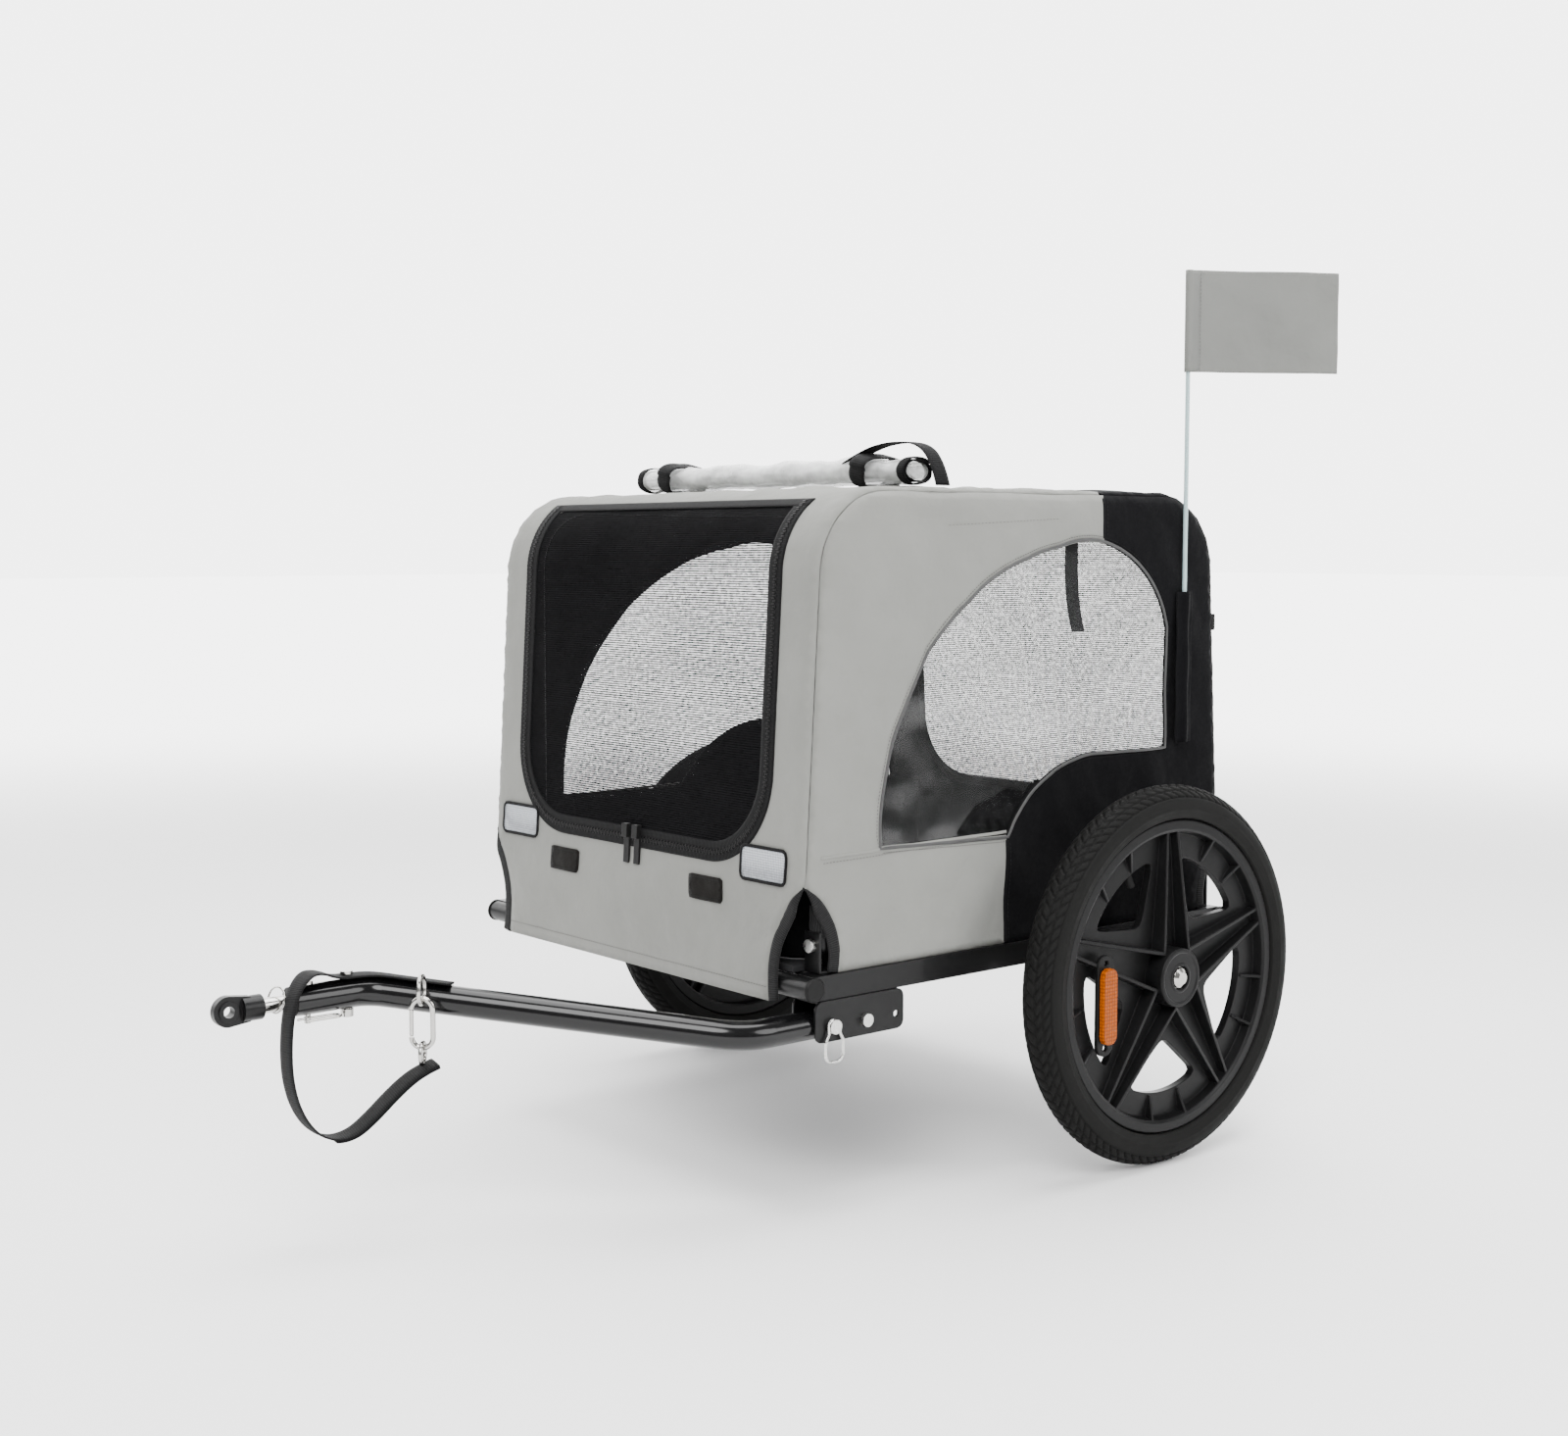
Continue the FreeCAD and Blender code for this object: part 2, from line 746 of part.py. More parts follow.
def make_tyres():
    centre = ("wheel_x", "axle_setback", "axle_z")
    outer = torus("x", *centre, "tyre_ring", "tyre_width / 2")
    hollow = torus("x", *centre, "tyre_ring", "tyre_width / 2 - tyre_wall")
    bead = cylinder("x", "wheel_x - tyre_width", "axle_setback", "axle_z", "bead_diameter / 2",
                    "2 * tyre_width")
    both_sides(cut(outer, hollow, bead), "tyre")
    air = torus("x", *centre, "tyre_ring", "tyre_width / 2 - tyre_wall - tube_gap")
    tyre_tube = cut(air, bead)
    stem = cylinder("z", "0", "0", "bead_diameter / 2 - valve_length", "valve_diameter / 2",
                    "valve_length + tyre_wall")
    stem_turned = group(stem)
    stem_turned.Placement = FreeCAD.Placement(ORIGIN, FreeCAD.Rotation(X_AXIS, value("valve_angle - 90")))
    bind_base(stem_turned, *centre)
    both_sides(fuse(tyre_tube, stem_turned), "inner_tube")


def spoke_window(angle):
    """The opening between two spokes, a rounded triangle about the wheel's Z axis."""
    half_turn = math.pi / value("spoke_count")
    offset = value("spoke_width / 2")
    outer = value("rim_inner - window_margin")
    swing = half_turn - math.asin(offset / outer)
    deep = -value("tyre_width")

    def place(radius, turn):
        return FreeCAD.Vector(radius * math.cos(angle + turn), radius * math.sin(angle + turn), deep)

    tip, first, last = place(value("window_apex"), 0), place(outer, -swing), place(outer, swing)
    face = face_of([line(tip, first), arc(first, place(outer, 0), last), line(last, tip)])
    return rounded_prism(face, Z_AXIS * value("2 * tyre_width"), value("window_corner"))


def spoke_channel(angle):
    """The groove along a spoke's outer face, which leaves two ribs."""
    half = value("channel_width / 2")
    start = value("hub_diameter / 2 + channel_margin / 2")
    end = value("rim_inner - channel_margin")
    base = value("web_width / 2 - channel_depth")
    corners = [FreeCAD.Vector(x, y, base) for x, y in (
        (start, -half / 2), (end, -half), (end, half), (start, half / 2))]
    edges = [line(corners[i], corners[(i + 1) % 4]) for i in range(4)]
    prism = rounded_prism(face_of(edges), Z_AXIS * value("channel_depth + cut_overrun"),
                          value("channel_corner"))
    prism.rotate(ORIGIN, Z_AXIS, math.degrees(angle))
    return prism


def make_rims():
    hub = "hub_diameter / 2"
    bore = "bearing_diameter / 2"
    recess = "hub_recess_diameter / 2"
    ring = "rim_width / 2"
    web = "web_width / 2"
    core = turned_body([
        (bore, "-hub_inner_length"), (hub, "-hub_inner_length"), (hub, f"-{web}"), ("rim_inner", f"-{web}"),
        ("rim_inner", f"-{ring}"), ("rim_radius", f"-{ring}"), ("rim_radius", ring), ("rim_inner", ring),
        ("rim_inner", web), (hub, web), (hub, "hub_outer_length"), (recess, "hub_outer_length"),
        (recess, "bearing_seat"), (bore, "bearing_seat"),
    ])
    count = int(value("spoke_count"))
    step = 2 * math.pi / count
    first = math.pi
    openings = [spoke_window(first + step * (index + 0.5)) for index in range(count)]
    grooves = [spoke_channel(first + step * index) for index in range(count)]
    valve = group(cylinder("z", "0", "0", "rim_inner - window_margin - cut_overrun", "valve_hole / 2",
                           "bead_diameter"))
    valve.Placement = FreeCAD.Placement(
        ORIGIN, ALONG["x"].inverted().multiply(FreeCAD.Rotation(X_AXIS, value("valve_angle - 90"))))
    rim = cut(core, feature(Part.makeCompound(openings + grooves)), valve)
    wheel_place(rim)
    both_sides(group(rim), "rim")


def make_hub_bearings():
    rings = []
    for start in ("-hub_inner_length", "bearing_seat - bearing_length"):
        outer = cylinder("x", f"wheel_x + {start}", "axle_setback", "axle_z",
                         "bearing_diameter / 2 - bearing_fit", "bearing_length")
        bore = cylinder("x", f"wheel_x + {start} - cut_overrun", "axle_setback", "axle_z",
                        "axle_diameter / 2 + bearing_fit", "bearing_length + 2 * cut_overrun")
        rings.append(cut(outer, bore))
    both_sides(group(*rings), "hub_bearings")


def make_wheel_reflectors():
    """An upright carrier across the forward opening, clipped to a spoke, with an amber lens."""
    y = "axle_setback - carrier_radius - carrier_width / 2"
    x = "wheel_x + web_width / 2 + weld_gap"
    middle = "axle_z - carrier_drop"
    carrier = box(x, y, f"{middle} - carrier_length / 2", "carrier_depth", "carrier_width", "carrier_length")
    lens = box(f"{x} + carrier_depth + weld_gap", f"{y} + (carrier_width - lens_width) / 2",
               f"{middle} - lens_length / 2", "lens_depth", "lens_width", "lens_length")
    both_sides(group(carrier), "reflector_carrier")
    both_sides(group(lens), "reflector_lens")


# Tow bracket and arm

def make_tow_bracket():
    length = "tow_length"
    cheeks = [box(x, "-tow_reach", "tow_bottom", "tow_plate", length, "tow_roof - tow_bottom")
              for x in ("tow_outer", "tow_inner - tow_plate")]
    roof = box("tow_inner - tow_plate", "-tow_reach", "tow_roof - tow_plate",
               "tow_outer - tow_inner + 2 * tow_plate", length, "tow_plate")
    across = ("tow_inner - tow_plate - cut_overrun", "tow_outer - tow_inner + 2 * tow_plate + 2 * cut_overrun")
    holes = [cylinder("x", across[0], y, "tow_pivot_level", radius, across[1]) for y, radius in (
        ("tow_pivot_setback", "tow_bolt / 2 + tow_hole_fit"),
        ("lock_setback", "lock_pin_diameter / 2 + lock_pin_fit"),
        ("tow_spare_hole_setback", "tow_bolt / 2 - 2 * tow_hole_fit"))]
    node(cut(fuse(roof, *cheeks), *holes), "tow_bracket")
    start = "tow_inner - tow_plate - weld_gap"
    end = "tow_outer + tow_plate + weld_gap"
    shank = cylinder("x", start, "tow_pivot_setback", "tow_pivot_level", "tow_bolt / 2", f"{end} - ({start})")
    head = cylinder("x", end, "tow_pivot_setback", "tow_pivot_level", "bolt_head / 2", "bolt_head_length")
    nut = cylinder("x", f"{start} - bolt_head_length", "tow_pivot_setback", "tow_pivot_level",
                   "bolt_head / 2", "bolt_head_length")
    node(fuse(shank, head, nut), "tow_pivot_bolt")


def make_lock_pin():
    start = "tow_inner - tow_plate - lock_pin_tail"
    pin = cylinder("x", start, "lock_setback", "tow_pivot_level", "lock_pin_diameter / 2",
                   f"lock_end - ({start})")
    head = cylinder("x", "lock_end", "lock_setback", "tow_pivot_level", "lock_head_diameter / 2",
                    "lock_head_length")
    groove = torus("x", "lock_end + lock_head_length / 2", "lock_setback", "tow_pivot_level",
                   "lock_head_diameter / 2", "lock_wire / 2 + lock_pin_fit")
    node(cut(fuse(pin, head), groove), "tow_lock_pin")
    x = value("lock_end + lock_head_length / 2")
    y = value("lock_setback")
    top = value("tow_pivot_level")
    eye = value("lock_head_diameter / 2")
    half = value("lock_wire_width / 2")
    low = top - value("lock_wire_drop")
    points = [FreeCAD.Vector(x, y + dy, z) for dy, z in (
        (-eye, top + eye / 2), (-eye, top - eye), (-half, top - 2 * eye), (-half, low), (half, low),
        (half, top - 2 * eye), (eye, top - eye), (eye, top + eye / 2))]
    bend = value("lock_wire_width / 3")
    small = value("lock_wire")
    wire = swept(rounded_path(points, [small, small, bend, bend, small, small]), value("lock_wire / 2"))
    node(feature(wire), "lock_pin_wire")


def arm_points():
    return [
        vector("arm_offset", "tow_pivot_setback + arm_stub", "tow_pivot_level"),
        vector("arm_offset", "-arm_bend_reach", "tow_pivot_level"),
        vector("arm_kink_offset", "-arm_kink_reach", "arm_front_level"),
        vector("arm_kink_offset", "-arm_end_reach", "arm_front_level"),
    ]


def make_tow_arm():
    """The bent tube, with its pivot hole and a slot that drops off the lock pin."""
    shape = tube(arm_points(), [value("arm_bend_radius"), value("arm_kink_radius")],
                 value("arm_diameter / 2"), value("arm_wall"))
    across = ("arm_offset - arm_diameter", "2 * arm_diameter")
    pivot = cylinder("x", across[0], "tow_pivot_setback", "tow_pivot_level",
                     "tow_bolt / 2 + tow_hole_fit", across[1])
    slot_radius = "lock_pin_diameter / 2 + lock_pin_fit"
    slot = fuse(
        cylinder("x", across[0], "lock_setback", "tow_pivot_level", slot_radius, across[1]),
        box(across[0], f"lock_setback - ({slot_radius})", "tow_pivot_level",
            across[1], f"2 * ({slot_radius}) + slot_relief", "arm_diameter"))
    pin = cylinder("z", "arm_kink_offset", "-hitch_pin_reach", "arm_front_level - arm_diameter",
                   "hitch_pin_diameter / 2 + hitch_pin_fit", "2 * arm_diameter")
    bolt = cylinder("z", "arm_kink_offset", "-strap_bolt_reach", "arm_front_level - arm_diameter",
                    "strap_bolt_diameter / 2 + strap_bolt_fit", "2 * arm_diameter")
    node(cut(feature(shape), pivot, slot, pin, bolt), "tow_arm_tube")


def along_arm(reach, radius, length):
    """A bar on the arm's front axis, from one reach forward."""
    return cylinder("y", "arm_kink_offset", f"-({reach}) - ({length})", "arm_front_level", radius, length)


def make_hitch():
    pin_hole = cylinder("z", "arm_kink_offset", "-hitch_pin_reach", "arm_front_level - arm_diameter",
                        "hitch_pin_diameter / 2 + hitch_pin_fit", "2 * arm_diameter")
    sleeve = along_arm("shank_root_reach", "arm_diameter / 2 - arm_wall - bush_fit",
                       "arm_end_reach + weld_gap - shank_root_reach")
    flange = along_arm("arm_end_reach + weld_gap", "bush_flange_diameter / 2", "bush_flange")
    bore = along_arm("shank_root_reach - cut_overrun", "shank_diameter / 2 + shank_fit",
                     "arm_end_reach - shank_root_reach + 3 * cut_overrun")
    node(cut(fuse(sleeve, flange), bore, pin_hole), "arm_end_bush")
    shank = along_arm("shank_root_reach", "shank_diameter / 2", "shank_reach - shank_root_reach")
    node(cut(shank, pin_hole), "hitch_shank")

    barrel = along_arm("barrel_reach", "barrel_diameter / 2", "barrel_end_reach - barrel_reach")
    side = "arm_kink_offset - eye_thickness / 2"
    plate = padded_body("YZ_Plane", [
        ("-barrel_end_reach + eye_thickness", "-barrel_diameter / 2"), ("-eye_reach", "-eye_radius"),
        ("-eye_reach", "eye_radius"), ("-barrel_end_reach + eye_thickness", "barrel_diameter / 2"),
    ], "eye_thickness")
    bind_base(plate, side, "0", "arm_front_level")
    disc = cylinder("x", side, "-eye_reach", "arm_front_level", "eye_radius", "eye_thickness")
    ring = cylinder("x", f"{side} - eye_ring_height", "-eye_reach", "arm_front_level",
                    "eye_ring_radius", "eye_thickness + 2 * eye_ring_height")
    hole = cylinder("x", f"{side} - cut_overrun", "-eye_reach", "arm_front_level", "eye_hole / 2",
                    "eye_thickness + 2 * cut_overrun")
    socket = along_arm("barrel_reach - cut_overrun", "shank_diameter / 2 + shank_fit",
                       "shank_reach + seat_gap - barrel_reach + cut_overrun")
    node(cut(fuse(barrel, plate, disc, ring), hole, socket), "hitch_coupler")


def make_hitch_pin():
    bottom = "arm_front_level - arm_diameter / 2 - hitch_pin_tail"
    top = "arm_front_level + arm_diameter / 2 + seat_gap"
    place = ("arm_kink_offset", "-hitch_pin_reach")
    shaft = cylinder("z", *place, bottom, "hitch_pin_diameter / 2", f"{top} - ({bottom})")
    head = cylinder("z", *place, top, "hitch_pin_head / 2", "hitch_pin_head_length")
    level = f"{bottom} + hitch_pin_tail / 2"
    hole = cylinder("y", "arm_kink_offset", "-hitch_pin_reach - cut_overrun", level, "clip_hole / 2",
                    "2 * cut_overrun")
    node(cut(fuse(shaft, head), hole), "hitch_pin")
    x = value("arm_kink_offset")
    y = -value("hitch_pin_reach")
    z = value(level)
    lead, length, width = value("clip_lead"), value("clip_length"), value("clip_width")
    points = [FreeCAD.Vector(x + dx, y + dy, z) for dx, dy in (
        (0, -lead), (0, length), (width, length), (width, -lead / 2))]
    bend = width * CLIP_BEND_SHARE
    clip = swept(rounded_path(points, [bend, bend]), value("clip_wire / 2"))
    node(feature(clip), "hitch_pin_clip")


# Safety strap

def strap_points():
    start = FreeCAD.Vector(value("arm_kink_offset"), -value("strap_bolt_reach"), value("arm_front_level"))
    return [start + FreeCAD.Vector(offset, -lead, rise) for offset, lead, rise in STRAP_ROUTE]


def least_bend(points):
    """The tightest radius along a route, from the circle through each three points."""
    return min(Part.Circle(*three).Radius for three in zip(points, points[1:], points[2:]))


def make_strap():
    hole = cylinder("z", "arm_kink_offset", "-strap_bolt_reach", "arm_front_level",
                    "strap_bolt_diameter / 2 + strap_bolt_fit", "2 * arm_diameter")
    route = strap_points()
    print(f"safety strap: tightest bend {least_bend(route):.1f} mm")
    webbing = band(route, value("strap_width"), value("strap_thickness"))
    node(cut(feature(webbing), hole), "safety_strap")
    place = ("arm_kink_offset", "-strap_bolt_reach")
    top = "arm_front_level + arm_diameter / 2 + 2 * strap_thickness"
    bottom = "arm_front_level - arm_diameter / 2 - seat_gap - strap_nut_length"
    shaft = cylinder("z", *place, bottom, "strap_bolt_diameter / 2", f"{top} - ({bottom})")
    head = cylinder("z", *place, top, "strap_bolt_head / 2", "strap_bolt_head_length")
    nut = cylinder("z", *place, bottom, "strap_bolt_head / 2", "strap_nut_length")
    node(fuse(shaft, head, nut), "strap_bolt")


def hook_frame():
    """Where the snap hook hangs beside the arm: its ring's centre, and the way along the arm."""
    _, bend, kink, _ = arm_points()
    ahead = (kink - bend).normalize()
    share = (-value("ring_reach") - bend.y) / (kink.y - bend.y)
    seat = bend + (kink - bend) * share
    level = FreeCAD.Vector(ahead.x, ahead.y, 0).normalize()
    aside = Z_AXIS.cross(level)
    return seat + aside * value("ring_offset") + Z_AXIS * value("ring_rise"), level


def make_hook():
    """A ring on the strap, a snap hook through it and a ring at the strap's end."""
    centre, ahead = hook_frame()
    wire = value("hook_wire")
    gap = value("seat_gap")
    ring_wire = value("ring_wire")
    step = (wire + ring_wire) / 2 + gap
    top = centre - Z_AXIS * (value("ring_radius") - step)
    height, half = value("hook_height"), value("hook_width / 2")
    upper = top - Z_AXIS * half
    lower = top - Z_AXIS * (height - half)
    gate = value("gate_wire / 2")
    gate_top = upper + ahead * half - Z_AXIS * value("gate_gap")
    gate_pivot = lower + ahead * half + Z_AXIS * (value("gate_gap") + gate)
    path = Part.Wire([edge.toShape() for edge in (
        arc(upper + ahead * half, top, upper - ahead * half),
        line(upper - ahead * half, lower - ahead * half),
        arc(lower - ahead * half, top - Z_AXIS * height, lower + ahead * half))])
    node(feature(swept(path, wire / 2)), "snap_hook")
    bar = Part.makeCylinder(gate, (gate_top - gate_pivot).Length, gate_pivot, Z_AXIS)
    node(feature(bar.fuse(Part.makeSphere(gate, gate_pivot))), "snap_hook_gate")
    end_ring = top - Z_AXIS * (height - step + value("end_ring_radius"))
    rings = [Part.makeTorus(radius, ring_wire / 2, place, ahead) for place, radius in (
        (centre, value("ring_radius")), (end_ring, value("end_ring_radius")))]
    node(feature(Part.makeCompound(rings)), "strap_rings")


# Fabric cabin

def front_profile(inset):
    """Side view of the front panel and its rounded top edge: hem, shoulder, arc middle, roof end."""
    radius = value("cabin_corner_radius") - inset
    centre = vector("0", "cabin_corner_radius", "cabin_top - cabin_corner_radius")
    hem = FreeCAD.Vector(0, -value("hem_bulge") + inset, value("hem_height"))
    diagonal = radius * math.sqrt(0.5)
    return [hem, centre - Y_AXIS * radius, centre + (Z_AXIS - Y_AXIS) * diagonal, centre + Z_AXIS * radius]


def front_ribbon():
    """The front fabric from its hem to the roof, full width."""
    outer = front_profile(0)
    inner = front_profile(value("fabric_thickness"))
    face = face_of([
        line(outer[0], outer[1]), arc(*outer[1:]), line(outer[3], inner[3]),
        arc(*inner[1:]), line(inner[1], inner[0]), line(inner[0], outer[0])])
    face.translate(X_AXIS * -value("side_x"))
    return face.extrude(X_AXIS * value("cabin_width"))


def door_prism(shrink):
    """The U-shaped door's outline, extruded through the front panel."""
    half = value("door_width / 2") - shrink
    low = value("door_bottom") + shrink
    high = value("door_top") - shrink
    ahead = -value("hem_bulge + cut_overrun")
    corners = [FreeCAD.Vector(x, ahead, z) for x, z in ((-half, low), (half, low), (half, high), (-half, high))]
    face = face_of([line(corners[i], corners[(i + 1) % 4]) for i in range(4)])
    depth = Y_AXIS * value("hem_bulge + cut_overrun + cabin_corner_radius")
    middle = (low + high) / 2
    lower = rounded_prism(face, depth, value("door_corner_radius") - shrink, lambda c: c.z < middle)
    upper_edges = [edge for edge in lower.Edges
                   if len(edge.Vertexes) == 2 and edge.CenterOfMass.z > middle
                   and abs(edge.tangentAt(edge.FirstParameter).y) > PARALLEL]
    return lower.makeFillet(value("door_upper_radius"), upper_edges)


def cutout_edges(start, across):
    """The pointed arch cut from a panel's lower corner; start is on the corner at the hem."""
    width = across * value("cutout_width")
    rise = Z_AXIS * (value("cutout_top") - start.z)
    beyond = across * -value("cut_overrun")
    below = Z_AXIS * -value("cut_overrun")
    middle = start + width * CUTOUT_SHARE[0] + rise * CUTOUT_SHARE[1]
    return [
        line(start + rise + beyond, start + rise), arc(start + rise, middle, start + width),
        line(start + width, start + width + below), line(start + width + below, start + below + beyond),
        line(start + below + beyond, start + rise + beyond)]


def front_cutouts():
    solids = []
    for side in (-1, 1):
        start = FreeCAD.Vector(side * value("side_x"), -value("hem_bulge + cut_overrun"), value("hem_height"))
        face = face_of(cutout_edges(start, X_AXIS * -side))
        solids.append(face.extrude(Y_AXIS * value("hem_bulge + cut_overrun + cabin_corner_radius")))
    return Part.makeCompound(solids)


def make_front_and_rear():
    ribbon = feature(front_ribbon())
    panel = cut(ribbon, feature(door_prism(0)), feature(front_cutouts()))
    door = common(feature(front_ribbon()), feature(door_prism(value("zip_gap"))))
    rear_panel = end_to_end(panel)
    rear_door = end_to_end(door)
    node(group(rear_panel), "cover_rear")
    node(group(rear_door), "rear_door_mesh")
    node(group(panel), "cover_front")
    node(group(door), "front_door_mesh")


def make_roof():
    node(group(box("-side_x", "cabin_corner_radius + seat_gap", "cabin_top - fabric_thickness", "cabin_width",
                   "cabin_length - 2 * cabin_corner_radius - 2 * seat_gap", "fabric_thickness")), "cover_roof")


def side_outline(inset):
    """The side panel's outline inside the front, roof and rear fabric."""
    low = value("cover_base")
    hem, shoulder, bend, roof = front_profile(inset)
    share = (low - hem.z) / (shoulder.z - hem.z)
    foot = hem + (shoulder - hem) * share
    length = value("cabin_length")
    rear = [FreeCAD.Vector(p.x, length - p.y, p.z) for p in (foot, shoulder, bend, roof)]
    return face_of([
        line(foot, shoulder), arc(shoulder, bend, roof), line(roof, rear[3]),
        arc(rear[3], rear[2], rear[1]), line(rear[1], rear[0]), line(rear[0], foot)])


def window_point(share):
    height = value("cabin_top - cover_base")
    return FreeCAD.Vector(0, share[0] * value("cabin_length"), value("cover_base") + share[1] * height)


def window_face():
    start = window_point(WINDOW_START_SHARE)
    front = [window_point(share) for share in WINDOW_FRONT_SHARES]
    rear = [window_point(share) for share in WINDOW_REAR_SHARES]
    sill = [window_point(share) for share in WINDOW_SILL_SHARES]
    arch = [window_point(share) for share in WINDOW_ARCH_SHARES]
    return face_of([
        arc(start, *front), arc(front[1], *rear), line(rear[1], sill[0]), line(*sill),
        arc(sill[1], *arch), line(arch[1], start)])


def make_sides():
    inner = value("side_x - fabric_thickness")
    reach = X_AXIS * value("fabric_thickness")
    face = side_outline(value("fabric_thickness + seat_gap"))
    face.translate(X_AXIS * inner)
    panel = face.extrude(reach)
    tools = []
    hole = window_face()
    hole.translate(X_AXIS * (inner - value("cut_overrun")))
    tools.append(hole.extrude(X_AXIS * value("2 * cut_overrun + fabric_thickness")))
    length = value("cabin_length")
    for y, across in ((0, Y_AXIS), (length, -Y_AXIS)):
        corner = FreeCAD.Vector(inner - value("cut_overrun"), y, value("cover_base"))
        face = face_of(cutout_edges(corner, across))
        tools.append(face.extrude(X_AXIS * value("2 * cut_overrun + fabric_thickness")))
    both_sides(cut(feature(panel), feature(Part.makeCompound(tools))), "cover_side")
    pane = window_face().makeOffset2D(value("window_lap"))
    pane.translate(X_AXIS * (inner - value("seat_gap + window_thickness")))
    both_sides(feature(pane.extrude(X_AXIS * value("window_thickness"))), "window")


def front_slope():
    """How far the front panel leans from upright, in degrees."""
    rise = value("cabin_top - cabin_corner_radius - hem_height")
    return math.degrees(math.atan2(value("hem_bulge"), rise))


def on_front(x, level, width, height, thickness):
    """A flat patch on the sloping front panel."""
    rise = value("cabin_top - cabin_corner_radius")
    ahead = value("hem_bulge") * (rise - level) / (rise - value("hem_height"))
    plate = Part.makeBox(width, thickness, height, FreeCAD.Vector(-width / 2, -thickness, -height / 2))
    turn = FreeCAD.Rotation(X_AXIS, -front_slope())
    gap = value("seat_gap")
    plate.Placement = FreeCAD.Placement(FreeCAD.Vector(x, -ahead - gap, level), turn)
    return plate


def make_front_marks():
    for name, prefix in (("reflective_patches", "patch"), ("hook_tabs", "tab")):
        sizes = [value(f"{prefix}_{part}") for part in ("width", "height", "thickness")]
        spread = value(f"{prefix}_spacing / 2")
        level = value(f"{prefix}_level")
        pair = [on_front(side * spread, level, *sizes) for side in (-1, 1)]
        node(feature(Part.makeCompound(pair)), name)


def make_zip_pulls():
    """A slider on each half of the zip with a hanging pull, front and rear."""
    for side, name in ((1, "left"), (-1, "right")):
        x = side * value("pull_spacing / 2")
        top = value("pull_top")
        slider = on_front(x, top, value("pull_width"), value("slider_length"), value("slider_depth"))
        tag = on_front(x, top - value("slider_length / 2 + pull_length / 2"), value("pull_width"),
                       value("pull_length"), value("pull_thickness"))
        shape = slider.fuse(tag).removeSplitter()
        front = feature(shape)
        rear = end_to_end(front)
        node(group(front), f"front_zip_pull_{name}")
        node(group(rear), f"rear_zip_pull_{name}")


# Rolled rain cover, flag and leash

def roll_section():
    """A rolled sheet's end view: half-turn arcs whose radius grows by half the pitch."""
    step = value("roll_pitch / 2")
    film = value("roll_film / 2")
    centre = vector("0", "roll_setback", "roll_level")
    outer, inner = [], []
    for index in range(int(value("roll_half_turns"))):
        side = 1 if index % 2 == 0 else -1
        middle = centre + Y_AXIS * (step / 2 * side)
        radius = value("roll_core") + step * (index + 0.5)
        for edges, reach in ((outer, radius + film), (inner, radius - film)):
            ends = [middle - Y_AXIS * (reach * side), middle + Z_AXIS * (reach * side),
                    middle + Y_AXIS * (reach * side)]
            edges.append(arc(*ends))
    caps = [line(outer[0].StartPoint, inner[0].StartPoint), line(outer[-1].EndPoint, inner[-1].EndPoint)]
    return face_of(outer + inner + caps)


def make_roll():
    face = roll_section()
    face.translate(X_AXIS * value("-roll_length / 2"))
    node(feature(face.extrude(X_AXIS * value("roll_length"))), "rain_cover_roll")
    straps = []
    for side in (-1, 1):
        x = f"{side} * roll_strap_spacing / 2 - roll_strap_width / 2"
        place = ("roll_setback", "roll_level")
        outer = cylinder("x", x, *place, "roll_ring + roll_strap_thickness", "roll_strap_width")
        bore = cylinder("x", f"{x} - cut_overrun", *place, "roll_ring", "roll_strap_width + 2 * cut_overrun")
        straps.append(cut(outer, bore))
    node(group(*straps), "roll_straps")


def make_flag():
    sleeve = box("sleeve_x", "pole_setback - sleeve_width / 2", "sleeve_bottom",
                 "sleeve_depth", "sleeve_width", "sleeve_height")
    bore = cylinder("z", "pole_x", "pole_setback", "pole_bottom - seat_gap",
                    "pole_diameter / 2 + sleeve_fit", "sleeve_height + cut_overrun")
    node(cut(sleeve, bore), "flag_sleeve")
    pole = cylinder("z", "pole_x", "pole_setback", "pole_bottom", "pole_diameter / 2", "pole_top - pole_bottom")
    node(group(pole), "flag_pole")
    bottom = "pole_top - flag_height"
    hem_radius = "pole_diameter / 2 + seat_gap"
    cloth = box("0", "-flag_thickness / 2", "0", "flag_length", "flag_thickness", "flag_height")
    hem = cylinder("z", "0", "0", "0", f"{hem_radius} + flag_hem", "flag_height")
    hollow = cylinder("z", "0", "0", "-cut_overrun", hem_radius, "flag_height + 2 * cut_overrun")
    flag = cut(fuse(cloth, hem), hollow)
    flag.Placement = FreeCAD.Placement(ORIGIN, FreeCAD.Rotation(Z_AXIS, 90 - value("flag_angle")))
    bind_base(flag, "pole_x", "pole_setback", bottom)
    node(group(flag), "flag_cloth")


def make_leash():
    """Webbing sewn inside the left wall, which hangs behind the window."""
    node(group(box("side_x - fabric_thickness - 2 * seat_gap - window_thickness - leash_thickness",
                   "leash_setback - leash_width / 2", "leash_top - leash_length",
                   "leash_thickness", "leash_width", "leash_length")), "cabin_leash")


make_rails()
make_crossbars()
make_end_caps()
make_floor()
make_mat()
for hoop in HOOPS:
    make_hoop(*hoop)
make_hoop_hinges()
make_axles()
make_tyres()
make_rims()
make_hub_bearings()
make_wheel_reflectors()
make_tow_bracket()
make_lock_pin()
make_tow_arm()
make_hitch()
make_hitch_pin()
make_strap()
make_hook()
make_front_and_rear()
make_roof()
make_sides()
make_front_marks()
make_zip_pulls()
make_roll()
make_flag()
make_leash()
doc.recompute()

faults = [obj.Label for obj in doc.Objects if "Invalid" in obj.State or "Error" in obj.State]
for obj in nodes:
    if obj.Shape.isNull() or not obj.Shape.isValid() or not obj.Shape.Solids:
        faults.append(obj.Label)
if faults:
    raise RuntimeError("pieces that failed: " + ", ".join(faults))

